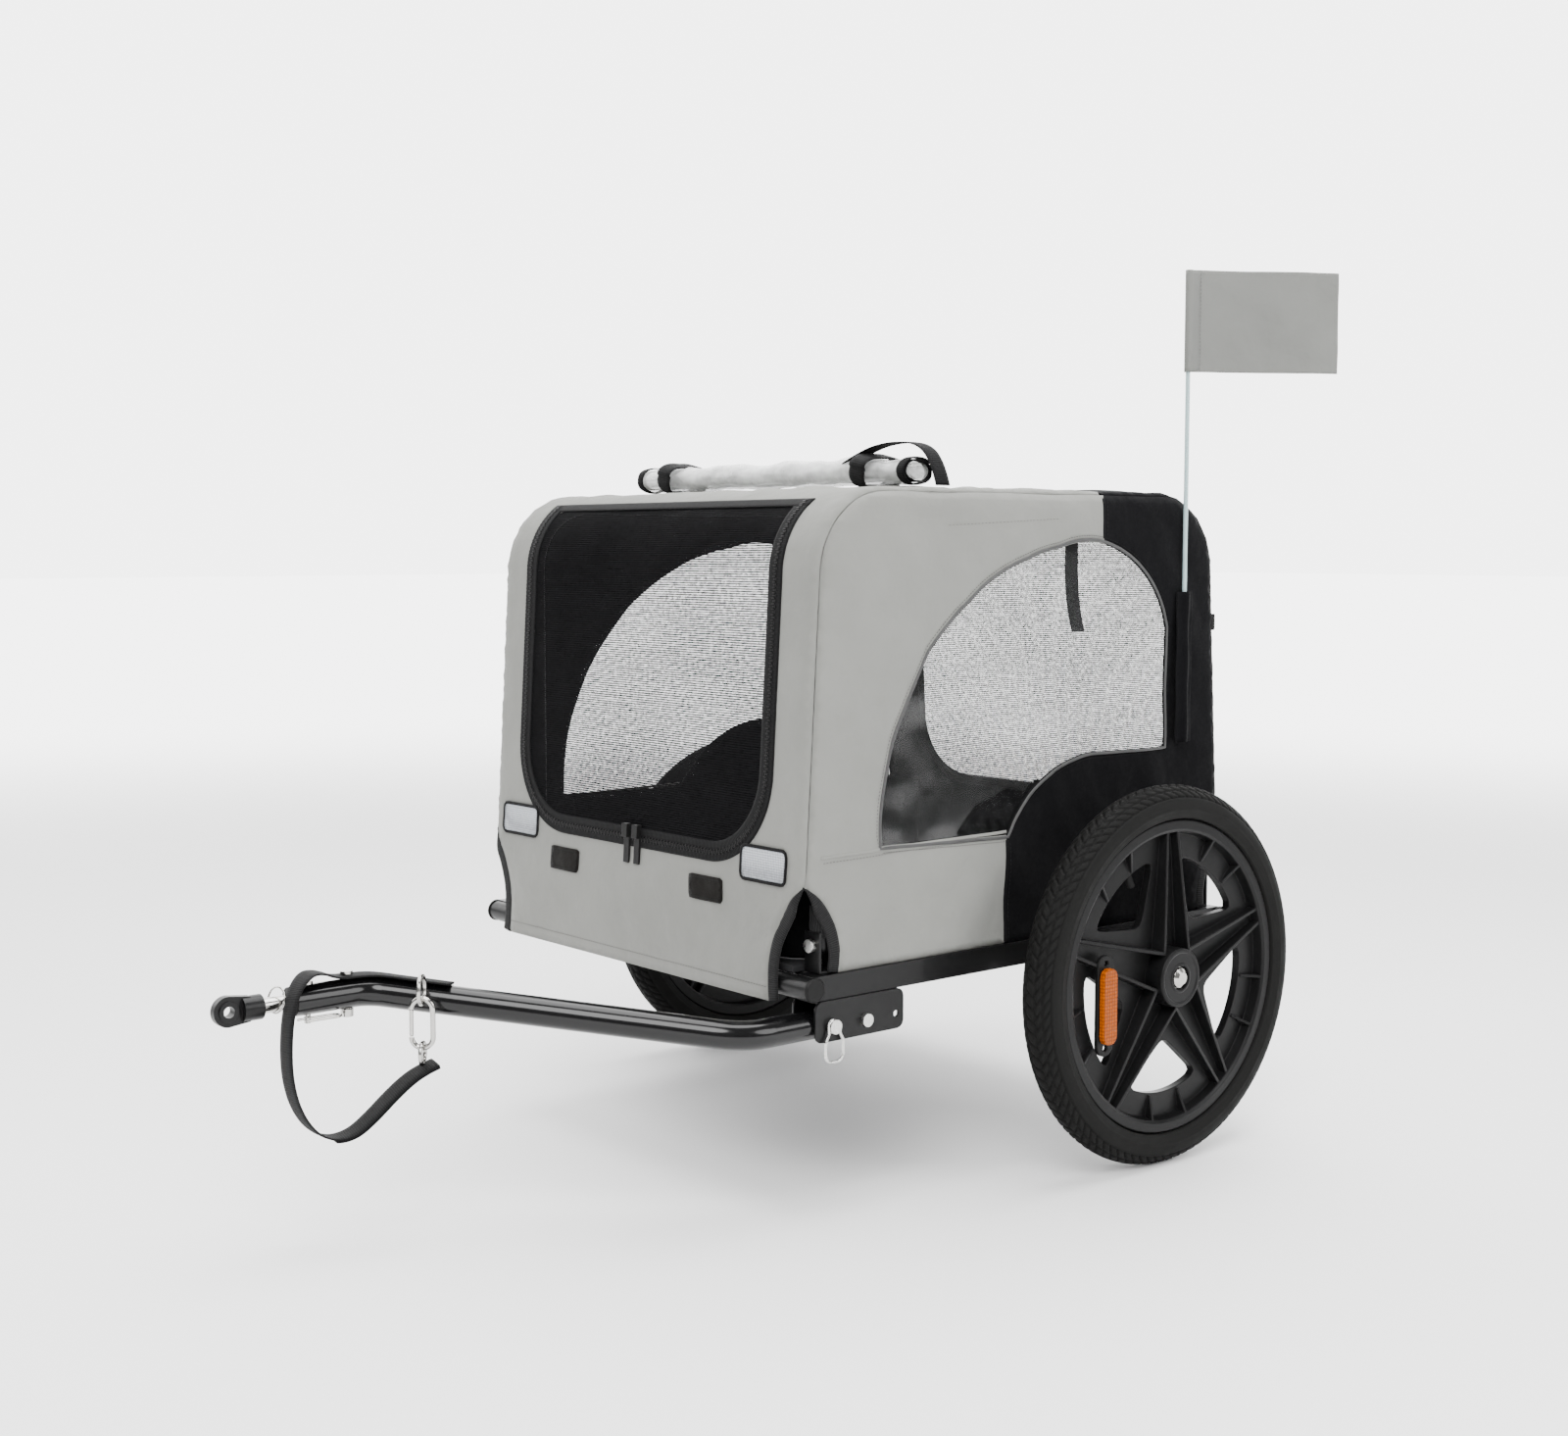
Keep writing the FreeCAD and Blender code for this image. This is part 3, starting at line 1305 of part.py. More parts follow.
os.makedirs("parts", exist_ok=True)
for obj in nodes:
    obj.Shape.exportStep(f"parts/{obj.Label}.step")
whole = Part.makeCompound([obj.Shape for obj in nodes]).optimalBoundingBox(False)
print(f"{len(nodes)} pieces, {whole.XLength:.1f} x {whole.YLength:.1f} x {whole.ZLength:.1f} mm")
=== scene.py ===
import math

import bmesh
import bpy
import numpy as np
from mathutils import Matrix, Vector
from mathutils.geometry import delaunay_2d_cdt


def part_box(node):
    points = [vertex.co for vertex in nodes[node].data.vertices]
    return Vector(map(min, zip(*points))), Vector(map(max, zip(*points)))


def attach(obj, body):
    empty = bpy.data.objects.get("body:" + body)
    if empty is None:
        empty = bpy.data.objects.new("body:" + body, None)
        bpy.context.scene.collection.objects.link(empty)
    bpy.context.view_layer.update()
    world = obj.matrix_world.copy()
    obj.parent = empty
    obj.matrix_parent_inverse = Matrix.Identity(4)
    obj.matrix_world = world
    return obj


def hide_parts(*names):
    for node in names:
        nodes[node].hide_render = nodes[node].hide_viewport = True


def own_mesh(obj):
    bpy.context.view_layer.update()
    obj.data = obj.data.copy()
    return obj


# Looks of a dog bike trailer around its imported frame: fabric cabin, clear windows, mesh doors,
# treaded tyres, moulded rims, webbing, rolled rain cover and flag. Metres, +Z up, forward is -Y,
# +X is the trailer's left.

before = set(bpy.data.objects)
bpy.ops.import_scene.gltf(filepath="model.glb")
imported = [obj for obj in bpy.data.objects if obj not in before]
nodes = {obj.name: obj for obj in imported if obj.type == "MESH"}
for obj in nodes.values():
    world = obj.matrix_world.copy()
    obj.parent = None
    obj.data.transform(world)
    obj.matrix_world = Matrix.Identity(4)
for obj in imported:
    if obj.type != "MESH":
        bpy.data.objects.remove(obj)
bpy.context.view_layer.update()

SIDES = (("left", 1), ("right", -1))
SIDE_SEEDS = {"left": 13, "right": 14}

# Cabin sizes, as in the construction
CABIN_LENGTH = 0.586
CABIN_TOP = 0.706
CORNER_RADIUS = 0.088
SIDE_X = 0.277
HEM_HEIGHT = 0.213
HEM_BULGE = 0.024
SIDE_BASE = 0.2413
SHOULDER = CABIN_TOP - CORNER_RADIUS
FRONT_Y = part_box("cover_front")[0].y + HEM_BULGE
EDGE_RADIUS = 0.017
FABRIC = 0.0018
DOOR_HALF = 0.214
DOOR_BOTTOM = 0.345
DOOR_TOP = 0.690
DOOR_RADIUS = 0.085
DOOR_TOP_RADIUS = 0.026
CUTOUT_WIDTH = 0.041
CUTOUT_TOP = 0.326
CUTOUT_SHARES = (0.73, 0.69)
BLACK_START = 0.397
BLACK_LOW_START = 0.252
MID_LEVEL = 0.5
SEAM_LEVEL = 0.355
SEAM_GAP = 0.0005
NORMAL_EASE = 0.04

# Lengths along the fabric's side view, from the front hem over the roof to the rear hem
FRONT_RUN = math.hypot(HEM_BULGE, SHOULDER - HEM_HEIGHT)
ARC_RUN = CORNER_RADIUS * math.pi / 2
TOTAL_RUN = 2 * FRONT_RUN + 2 * ARC_RUN + CABIN_LENGTH - 2 * CORNER_RADIUS
RIBBON_HALF = SIDE_X - EDGE_RADIUS + EDGE_RADIUS * math.pi / 4

# Outline of the clear side window, as shares of the cabin's length and of its side's height
WINDOW_START_SHARE = (0.137, 0.247)
WINDOW_FRONT_SHARES = [(0.208, 0.583), (0.563, 0.871)]
WINDOW_REAR_SHARES = [(0.783, 0.819), (0.853, 0.684)]
WINDOW_SILL_SHARES = [(0.855, 0.402), (0.667, 0.404)]
WINDOW_ARCH_SHARES = [(0.512, 0.346), (0.435, 0.239)]

# Spacing of the points of a cloth and of a line on it
SPACING = 0.009
PANE_SPACING = 0.007
LINE_STEP = 0.006
PLATE_SPACING = 0.004

# Tapes: width and thickness
DOOR_BINDING = (0.0095, 0.0018)
DOOR_HEM = (0.0125, 0.0016)
DOOR_TAPE = (0.0108, 0.0016)
CUT_BINDING_WIDTHS = (0.0012, 0.014)
CUT_BINDING_THICKNESS = 0.0032
WINDOW_WELT = (0.0032, 0.0018)
SEAM_TAPE = (0.0032, 0.0012)
PATCH_BORDER = (0.0032, 0.0016)
ROLL_EDGE = (0.011, 0.0016)
ROLL_STRAP = (0.024, 0.002)
ROLL_TAIL = (0.02, 0.0016)
EDGE_LOOP = (0.018, 0.0014)
POST_BAND = (0.028, 0.0022)
SAFETY_STRAP = (0.024, 0.0022)
LINING_WALL = (0.103, 0.0012)
LEASH_THICKNESS = 0.0018
VINYL = 0.0006
FLAG_THICKNESS = 0.0007
FLAG_HEM_THICKNESS = 0.0006
SLEEVE_THICKNESS = 0.0008

# Threads: pitch, length of a stitch and radius
SEAM_THREAD = (0.0042, 0.0028, 0.00042)
TAB_THREAD = (0.0035, 0.0024, 0.00042)
WINDOW_THREAD = (0.0036, 0.0022, 0.0003)
LINE_THREAD = (0.005, 0.003, 0.00032)
FLAG_THREAD = (0.004, 0.0026, 0.0003)

# Sewn line below a side's roof edge: setback and height of its ends
SEWN_LINE = [(0.165, 0.668), (0.332, 0.676)]

# Zip teeth: pitch, sideways lean and half sizes along, across and out
TOOTH_PITCH = 0.0026
TOOTH_LEAN = 0.0008
TOOTH_HALF = (0.0008, 0.0022, 0.0011)

# Front marks: width, height and corner radius, then offset from the middle and height on the front
PATCH = (0.068, 0.033, 0.006)
PATCH_PLACE = (0.215, 0.342)
TAB = (0.053, 0.025, 0.002)
TAB_PLACE = (0.125, 0.308)
TAB_SEWN = (0.047, 0.019, 0.002)

# Route of the safety strap, in millimetres: offset, reach ahead of the cabin front, height
STRAP_ROUTE = [
    (81, 283, 240.4), (56, 310.5, 244.9), (33, 335, 249.2), (28, 352, 250), (28, 376, 250.4),
    (30, 392, 258), (38, 410, 259.5), (47, 426, 248), (51, 434.5, 226), (53, 438, 198),
    (55, 438, 170), (57, 432, 143), (60, 419, 121), (63, 401, 110.5), (67, 382, 113),
    (72, 366, 126), (78, 349, 144), (83, 333, 158.5), (86.5, 318, 167), (89, 306, 171),
]

# Rolled rain cover: turns, radius of its core, gap to its CAD solid, and its shape as shares of a round roll
ROLL_TURNS = 3.4
ROLL_CORE = 0.006
ROLL_MARGIN = 0.0012
ROLL_LIFT = 0.0008
ROLL_SLUMP_SHARE = 0.78
ROLL_SPREAD_SHARE = 1.16
ROLL_LENGTH_SHARE = 0.985
ROLL_STRAP_X = 0.165

# Arch of the roll strap's loose tail: offset, setback from the roll's middle, height above the roof
TAIL_ROUTE = [(0.135, -0.012, 0.026), (0.160, -0.006, 0.040), (0.195, 0, 0.047),
              (0.232, 0.004, 0.044), (0.250, 0.006, 0.022), (0.254, 0.008, 0.002)]

# Plan of a corner lining: offset from the middle, setback from the cabin's end
LINING_LINE = [(0.196, 0.008), (0.218, 0.018), (0.240, 0.038), (0.254, 0.062), (0.267, 0.090)]
LINING_LEVEL = 0.2985
LINING_KEEP = 0.12

# Flag: gaps at the pole and at its free end, hem round the pole, reach and offset of the hem's stitching
FLAG_LENGTH = 0.172
FLAG_GAPS = (0.0036, 0.0008)
FLAG_TURN = math.radians(60)
FLAG_HEM_RADIUS = 0.0042
FLAG_HEM_WIDTH = 0.014
FLAG_HEM_GAP = 0.0009
FLAG_STITCHED = (0.0125, 0.0015)

HINGE_LEVEL = 0.268
HOOP_BEND = 0.072
POST_RADIUS = 0.0095
BAND_LEVEL = 0.291

# Wheels: centre, radius and bead of the tyre's section, then the rim
TYRE_RING = 0.1785
TYRE_SECTION = 0.0215
TYRE_BEAD = 0.1662
TREAD_DEPTH = 0.002
RIM_INNER = 0.1507
RIM_OUTER = 0.1656
RIM_HALF = 0.016
RIM_PLATE = 0.0045
RIM_SPACING = 0.006
HUB_RADIUS = 0.031
BORE_RADIUS = 0.0125

# Sections of the rim's flanged ring and of its hub, as radius and height
RIM_SECTION = [
    (RIM_INNER, -0.0145), (RIM_INNER + 0.002, -RIM_HALF), (RIM_OUTER - 0.002, -RIM_HALF),
    (RIM_OUTER, -0.0145), (RIM_OUTER, 0.0135), (RIM_OUTER - 0.0022, RIM_HALF),
    (RIM_INNER + 0.004, RIM_HALF), (RIM_INNER + 0.001, 0.0145), (RIM_INNER - 0.0015, 0.004),
    (RIM_INNER - 0.0015, -0.004),
]
HUB_SECTION = [
    (BORE_RADIUS, -RIM_HALF), (HUB_RADIUS - 0.001, -RIM_HALF), (HUB_RADIUS, -0.015),
    (HUB_RADIUS, 0.0255), (HUB_RADIUS - 0.0015, 0.027), (0.0265, 0.027), (0.0258, 0.0262),
    (0.0160, 0.0262), (0.0148, 0.0268), (0.0126, 0.0268), (BORE_RADIUS, 0.0215), (BORE_RADIUS, 0.0),
]

# Rim windows, then the ribs: where they start and end, offsets and tops at the hub and at the ring
SPOKES = 5
SPOKE_HALF = 0.019
WINDOW_WALL = 0.002
WINDOW_TIP = 0.066
WINDOW_REACH = RIM_INNER - 0.026
WINDOW_SOFTNESS = 0.014
RIB_SINK = 0.002
RIB_START = HUB_RADIUS - 0.006
RIB_END = RIM_INNER + 0.001
SPOKE_WALL = 0.005
SPOKE_OFFSETS = (0.0195, 0.008)
SPOKE_TOPS = (0.0215, 0.0135)
SPOKE_BACKS = (-0.0125, -0.0125)
GUSSET_WALL = 0.0042
GUSSET_TOPS = (0.0062, 0.0146)
GUSSET_SHARES = (0.36, 0.64)

# Tow bracket's holes, as setback from the cabin front and radius, and the arm's two joints
BRACKET_HOLES = ((0.055, 0.0042), (0.013, 0.00435), (0.096, 0.0036))
BRACKET_PLATE = 0.003
ARM_LEVEL = 0.192
ARM_REAR = Vector((0.2645, FRONT_Y - 0.080, ARM_LEVEL))
ARM_KINK = Vector((0.028, FRONT_Y - 0.342, 0.234))


# Materials

class Shader:
    """A node tree with short ways to add nodes, a material's own unless another is given."""

    def __init__(self, name, tree=None, **sockets):
        if tree is None:
            self.material = bpy.data.materials.new(name)
            self.material.use_nodes = True
            tree = self.material.node_tree
            self.base = tree.nodes["Principled BSDF"]
        self.tree = tree
        for socket, setting in sockets.items():
            self.put(self.base, socket.replace("_", " "), setting)

    def put(self, node, socket, setting):
        if isinstance(setting, bpy.types.NodeSocket):
            self.tree.links.new(setting, node.inputs[socket])
        else:
            node.inputs[socket].default_value = setting

    def add(self, kind, **inputs):
        node = self.tree.nodes.new("ShaderNode" + kind)
        for socket, setting in inputs.items():
            self.put(node, socket.replace("_", " "), setting)
        return node

    def operate(self, kind, operation, *settings):
        node = self.add(kind)
        node.operation = operation
        for index, setting in enumerate(settings):
            self.put(node, index, setting)
        return node

    def math(self, operation, *settings):
        return self.operate("Math", operation, *settings).outputs[0]

    def place(self, which):
        return self.add("TexCoord").outputs[which]

    def noise(self, coords, scale, detail=4.0, rough=0.55):
        node = self.add("TexNoise", Vector=coords, Scale=scale, Detail=detail, Roughness=rough)
        return node.outputs["Fac"]

    def waves(self, coords, direction, pitch):
        """Bands across one axis, one every pitch metres."""
        node = self.add("TexWave", Vector=coords, Scale=math.pi / 10 / pitch)
        node.bands_direction = direction
        return node.outputs["Fac"]

    def spread(self, factor, low, high, start=0.0, end=1.0, easing="LINEAR"):
        node = self.add("MapRange", Value=factor, From_Min=start, From_Max=end, To_Min=low, To_Max=high)
        node.interpolation_type = easing
        return node.outputs[0]

    def ramp(self, factor, stops):
        node = self.add("ValToRGB", Fac=factor)
        elements = node.color_ramp.elements
        while len(elements) < len(stops):
            elements.new(0.5)
        for element, (place, color) in zip(elements, stops):
            element.position = place
            element.color = (*color, 1)
        return node.outputs["Color"]

    def bump(self, height, distance, strength=1.0, normal=None):
        node = self.add("Bump", Height=height, Distance=distance, Strength=strength)
        if normal is not None:
            self.put(node, "Normal", normal)
        return node.outputs["Normal"]

    def soft_edges(self, radius):
        """Normals that round a hard edge."""
        node = self.add("Bevel", Radius=radius)
        node.samples = 6
        return node.outputs["Normal"]

    def set(self, **links):
        for socket, output in links.items():
            self.put(self.base, socket.replace("_", " "), output)
        return self.material


def tint(color, amount):
    return tuple(min(1.0, max(0.0, part * amount)) for part in color)


def painted(name, color, rough, coat):
    shader = Shader(name, Coat_Weight=coat, Coat_Roughness=0.08, Specular_IOR_Level=0.16)
    coords = shader.place("Object")
    cloud = shader.noise(coords, 14, 5)
    peel = shader.noise(coords, 900, 2)
    scuff = shader.noise(coords, 140, 8, 0.7)
    edge = shader.add("NewGeometry").outputs["Pointiness"]
    worn = shader.math("MULTIPLY", shader.spread(edge, 0.0, 0.25, 0.53, 0.6), scuff)
    mixed = shader.math("ADD", shader.math("MULTIPLY", cloud, 0.6), worn)
    hue = shader.ramp(mixed, [(0.2, tint(color, 0.8)), (0.6, color), (1.0, tint(color, 2.6))])
    shine = shader.spread(scuff, rough * 0.8, rough * 1.35, 0.3, 0.75)
    return shader.set(Base_Color=hue, Roughness=shine,
                      Normal=shader.bump(peel, 0.00006, 0.6, shader.soft_edges(0.0009)))


def plated(name, color, rough):
    shader = Shader(name, Metallic=1.0)
    coords = shader.place("Object")
    cloud = shader.noise(coords, 120, 6, 0.65)
    fine = shader.noise(coords, 700, 2)
    hue = shader.ramp(cloud, [(0.25, tint(color, 0.82)), (0.75, color)])
    shine = shader.spread(cloud, rough * 0.6, rough * 1.7, 0.3, 0.7)
    return shader.set(Base_Color=hue, Roughness=shine,
                      Normal=shader.bump(fine, 0.00004, 0.5, shader.soft_edges(0.0007)))


def moulded(name, color, rough, grain=1100, depth=0.00012):
    shader = Shader(name, Specular_IOR_Level=0.12)
    coords = shader.place("Object")
    cloud = shader.noise(coords, 18, 6)
    fine = shader.noise(coords, grain, 3, 0.6)
    edge = shader.add("NewGeometry").outputs["Pointiness"]
    pale = shader.spread(edge, 0.0, 0.35, 0.52, 0.62)
    hue = shader.ramp(shader.math("ADD", shader.math("MULTIPLY", cloud, 0.7), pale),
                      [(0.2, tint(color, 0.75)), (0.55, color), (1.0, tint(color, 2.2))])
    shine = shader.spread(cloud, rough * 0.85, rough * 1.2, 0.3, 0.7)
    return shader.set(Base_Color=hue, Roughness=shine,
                      Normal=shader.bump(fine, depth, 0.7, shader.soft_edges(0.001)))


def tread_rubber(name, color):
    shader = Shader(name, Specular_IOR_Level=0.08)
    coords = shader.place("Object")
    dust = shader.noise(coords, 26, 7, 0.65)
    fine = shader.noise(coords, 1400, 3)
    hue = shader.ramp(dust, [(0.3, tint(color, 0.75)), (0.6, color), (0.85, tint(color, 1.7))])
    return shader.set(Base_Color=hue, Roughness=shader.spread(dust, 0.55, 0.8, 0.3, 0.7),
                      Normal=shader.bump(fine, 0.0001, 0.5))


def woven(name, color, pitch=0.0011, rough=0.85, sheen=0.12, shine=0.12):
    """A plain weave laid out in metres on the piece's flat map, softly creased. Its colour carries painted
    shade in the gaps between threads, and broad patches that are partly faded dye and partly painted shade
    of folds.
    """
    shader = Shader(name, Sheen_Weight=sheen, Sheen_Roughness=0.45, Specular_IOR_Level=shine)
    coords = shader.place("UV")
    slub = shader.noise(coords, 260, 3)
    threads = shader.math("MAXIMUM", shader.waves(coords, "X", pitch), shader.waves(coords, "Y", pitch))
    height = shader.math("MULTIPLY_ADD", slub, 0.5, threads)
    # Broad colour patches: partly fading of the dye, partly painted shade of soft folds
    fade_and_fold_shade = shader.math("MULTIPLY", shader.noise(coords, 9, 4), 0.75)
    # Thread relief into colour: painted shade in the gaps between the threads
    weave_tone_and_shade = shader.math("MULTIPLY_ADD", height, 0.16, fade_and_fold_shade)
    hue = shader.ramp(weave_tone_and_shade, [(0.2, tint(color, 0.86)), (0.55, color), (0.9, tint(color, 1.08))])
    broad = shader.noise(coords, 11, 3, 0.5)
    folds = shader.math("MULTIPLY_ADD", shader.noise(coords, 34, 3, 0.5), 0.35, broad)
    creased = shader.bump(folds, 0.014, 0.5)
    return shader.set(Base_Color=hue, Roughness=shader.spread(slub, rough * 0.92, rough * 1.08, 0.3, 0.7),
                      Normal=shader.bump(height, 0.00018, 0.55, creased))


def netting(name, color, pitch=0.0024, open_share=0.15):
    """Knitted mesh: threads both ways with open holes between them."""
    shader = Shader(name, Roughness=0.8, Specular_IOR_Level=0.05)
    coords = shader.place("UV")
    rows = shader.waves(coords, "Y", pitch)
    holes = shader.math("MULTIPLY", rows, shader.waves(coords, "X", pitch * 0.62))
    uneven = shader.spread(shader.noise(coords, 210, 3, 0.6), -0.09, 0.09, 0.35, 0.65)
    solid = shader.math("LESS_THAN", shader.math("ADD", holes, uneven), open_share)
    hue = shader.ramp(shader.noise(coords, 30, 4), [(0.3, tint(color, 0.8)), (0.7, tint(color, 1.3))])
    return shader.set(Base_Color=hue, Alpha=solid, Normal=shader.bump(rows, 0.0003, 0.5))


def film(name, veil, rim_veil, pale, dark, gloss):
    """Clear soft vinyl: mostly see-through, glossy, more veiled where it is seen edge-on."""
    shader = Shader(name, Roughness=0.06, IOR=gloss, Specular_IOR_Level=0.45)
    coords = shader.place("UV")
    broad = shader.noise(coords, 9, 3)
    fine = shader.noise(coords, 55, 5, 0.6)
    rim = shader.add("LayerWeight", Blend=0.3).outputs["Facing"]
    cloudy = shader.spread(broad, veil * 0.6, veil * 1.5, 0.3, 0.7)
    alpha = shader.math("MINIMUM", shader.math("MULTIPLY_ADD", rim, rim_veil, cloudy), 0.95)
    hue = shader.ramp(fine, [(0.38, dark), (0.62, pale)])
    return shader.set(Base_Color=hue, Alpha=alpha,
                      Normal=shader.bump(shader.math("MULTIPLY_ADD", fine, 0.12, broad), 0.001, 0.35))


def webbing(name, color):
    shader = Shader(name, Sheen_Weight=0.03, Sheen_Roughness=0.4, Specular_IOR_Level=0.07)
    coords = shader.place("UV")
    yarn = shader.waves(coords, "Y", 0.0013)
    height = shader.math("MULTIPLY_ADD", yarn, 0.7, shader.waves(coords, "X", 0.0022))
    # Colour follows the yarn relief: painted shade between the yarns, painted highlight on their tops
    hue = shader.ramp(shader.math("MULTIPLY", height, 0.6),
                      [(0.1, tint(color, 0.6)), (0.7, color), (1.0, tint(color, 2.2))])
    return shader.set(Base_Color=hue, Roughness=shader.spread(yarn, 0.62, 0.85),
                      Normal=shader.bump(height, 0.0003, 0.7))


def prismatic(name, color, cell, metal, rough):
    """A reflector's face: rows of small prisms under a clear skin, with a painted glint in each prism's
    middle and painted shade at its border.
    """
    shader = Shader(name, Metallic=metal, Coat_Weight=0.05, Coat_Roughness=0.05, Roughness=rough,
                    Specular_IOR_Level=0.1)
    cells = shader.add("TexVoronoi", Vector=shader.place("Object"), Scale=1 / cell, Randomness=0.12)
    depth = cells.outputs["Distance"]
    # Each cell lighter in its middle and darker at its border: painted glint and painted shade of the prisms
    hue = shader.ramp(depth, [(0.0, tint(color, 1.5)), (0.35, color), (0.7, tint(color, 0.45))])
    return shader.set(Base_Color=hue, Normal=shader.bump(depth, 0.0012, 0.8))


def glass_fibre(name, color):
    shader = Shader(name, Roughness=0.28, Coat_Weight=0.6, Coat_Roughness=0.12)
    stretch = shader.add("Mapping", Vector=shader.place("Object"), Scale=(900, 900, 14)).outputs[0]
    grain = shader.noise(stretch, 1.0, 4)
    hue = shader.ramp(grain, [(0.3, tint(color, 0.88)), (0.7, color)])
    return shader.set(Base_Color=hue, Normal=shader.bump(grain, 0.00008, 0.5))


paint_satin = painted("satin_black_paint", (0.0045, 0.0045, 0.0047), 0.36, 0.08)
paint_gloss = painted("gloss_black_paint", (0.0035, 0.0035, 0.0038), 0.18, 0.32)
zinc = plated("zinc_plate", (0.62, 0.62, 0.60), 0.26)
nickel = plated("nickel_plate", (0.50, 0.49, 0.47), 0.14)
plastic = moulded("black_plastic", (0.006, 0.006, 0.006), 0.42)
nylon = moulded("rim_nylon", (0.006, 0.006, 0.0062), 0.36, 1300, 0.0001)
rubber = tread_rubber("tyre_rubber", (0.007, 0.007, 0.0067))
butyl = tread_rubber("butyl_rubber", (0.008, 0.008, 0.008))
grey_cloth = woven("grey_fabric", (0.200, 0.202, 0.188))
black_cloth = woven("black_fabric", (0.0036, 0.0036, 0.0042), sheen=0.02, shine=0.05)
lining = woven("black_lining", (0.0045, 0.0045, 0.005), sheen=0.02, shine=0.05)
flag_cloth = woven("flag_fabric", (0.165, 0.168, 0.158), 0.0009)
tape = webbing("binding_tape", (0.006, 0.006, 0.0063))
strap_web = webbing("strap_webbing", (0.0075, 0.0075, 0.0078))
edge_web = webbing("edge_webbing", (0.013, 0.013, 0.0132))
net = netting("door_net", (0.004, 0.004, 0.0045))
clear = film("clear_vinyl", 0.11, 0.26, (0.06, 0.062, 0.062), (0.02, 0.021, 0.021), 2.3)
# Rolled film: its pale milky colour is partly the film's own haze and partly painted glare off its rolled
# layers
roll_clear = film("rolled_vinyl", 0.36, 0.4, (0.80, 0.81, 0.80), (0.5, 0.505, 0.5), 1.6)
welt = moulded("vinyl_welt", (0.07, 0.07, 0.07), 0.3)
amber = prismatic("amber_lens", (0.40, 0.078, 0.0002), 0.0036, 0.0, 0.3)
silver = prismatic("reflective_sheet", (0.42, 0.44, 0.47), 0.0024, 0.1, 0.3)
fibre = glass_fibre("pole_fibre", (0.38, 0.50, 0.51))
thread_grey = moulded("grey_thread", (0.14, 0.14, 0.132), 0.7)
thread_black = moulded("black_thread", (0.012, 0.012, 0.012), 0.7)
hook_tape = woven("hook_tape", (0.0062, 0.0055, 0.0047), 0.0016, 0.7, 0.04, 0.06)
board = moulded("floor_board", (0.02, 0.02, 0.021), 0.6)
quilt = woven("mat_fabric", (0.016, 0.016, 0.017), 0.0012)

# Finish of the construction's own pieces
NODE_FINISH = {
    paint_satin: ["side_rails", "crossbars", "hoop_brackets", "axle_receivers", "hitch_coupler"],
    paint_gloss: ["tow_arm_tube"],
    zinc: ["hoop_hinge_bolts", "axles", "tow_pivot_bolt", "tow_lock_pin", "lock_pin_wire",
           "hub_bearings_left", "hub_bearings_right"],
    nickel: ["axle_nuts", "hitch_shank", "hitch_pin", "hitch_pin_clip", "strap_bolt", "strap_rings",
             "snap_hook", "snap_hook_gate"],
    plastic: ["crossbar_end_caps", "arm_end_bush"],
    butyl: ["inner_tube_left", "inner_tube_right"],
    fibre: ["flag_pole"],
    board: ["floor_board"],
}


# Lines and outlines

def unit(vectors):
    return vectors / np.maximum(np.linalg.norm(vectors, axis=-1, keepdims=True), 1e-12)


def ramp_up(distance, start, reach):
    """From 0 at a distance to 1 where it is the reach further."""
    return np.clip((distance - start) / reach, 0, 1)


def run_along(path):
    """Length of a path from its start to each of its points."""
    return np.concatenate([[0], np.cumsum(np.linalg.norm(np.diff(path, axis=0), axis=1))])


def around(centre, radius, count):
    """Points of a circle."""
    turns = np.linspace(0, 2 * math.pi, count, endpoint=False)
    return np.array(centre) + radius * np.column_stack([np.cos(turns), np.sin(turns)])


def arc_points(start, middle, end, count=24):
    """Points along the circle through three points of a plane."""
    a, b, c = (np.array(p, float) for p in (start, middle, end))
    rows = np.array([b - a, c - a]) * 2
    centre = np.linalg.solve(rows, [b @ b - a @ a, c @ c - a @ a])
    angles = [math.atan2(*(p - centre)[::-1]) for p in (a, b, c)]
    turn = (angles[2] - angles[0]) % (2 * math.pi)
    if (angles[1] - angles[0]) % (2 * math.pi) > turn:
        turn -= 2 * math.pi
    steps = angles[0] + np.linspace(0, turn, count)
    return centre + np.linalg.norm(a - centre) * np.column_stack([np.cos(steps), np.sin(steps)])


def rounded_rectangle(width, height, radius, count=6):
    points = []
    for x, y, start in ((1, 1, 0), (-1, 1, 90), (-1, -1, 180), (1, -1, 270)):
        for angle in np.radians(np.linspace(start, start + 90, count)):
            points.append((x * (width / 2 - radius) + radius * math.cos(angle),
                           y * (height / 2 - radius) + radius * math.sin(angle)))
    return np.array(points)


def resample(points, spacing, closed=False):
    points = np.asarray(points, float)
    if closed:
        points = np.vstack([points, points[:1]])
    run = run_along(points)
    count = max(2, int(round(run[-1] / spacing)))
    targets = np.linspace(0, run[-1], count + 1)
    found = np.column_stack([np.interp(targets, run, axis) for axis in points.T])
    return found[:-1] if closed else found


def grown(loop, amount):
    """A closed loop moved outward by an amount."""
    ahead = unit(np.roll(loop, -1, 0) - np.roll(loop, 1, 0))
    area = np.sum(loop[:, 0] * np.roll(loop[:, 1], -1) - np.roll(loop[:, 0], -1) * loop[:, 1])
    return loop + np.column_stack([ahead[:, 1], -ahead[:, 0]]) * np.sign(area) * amount


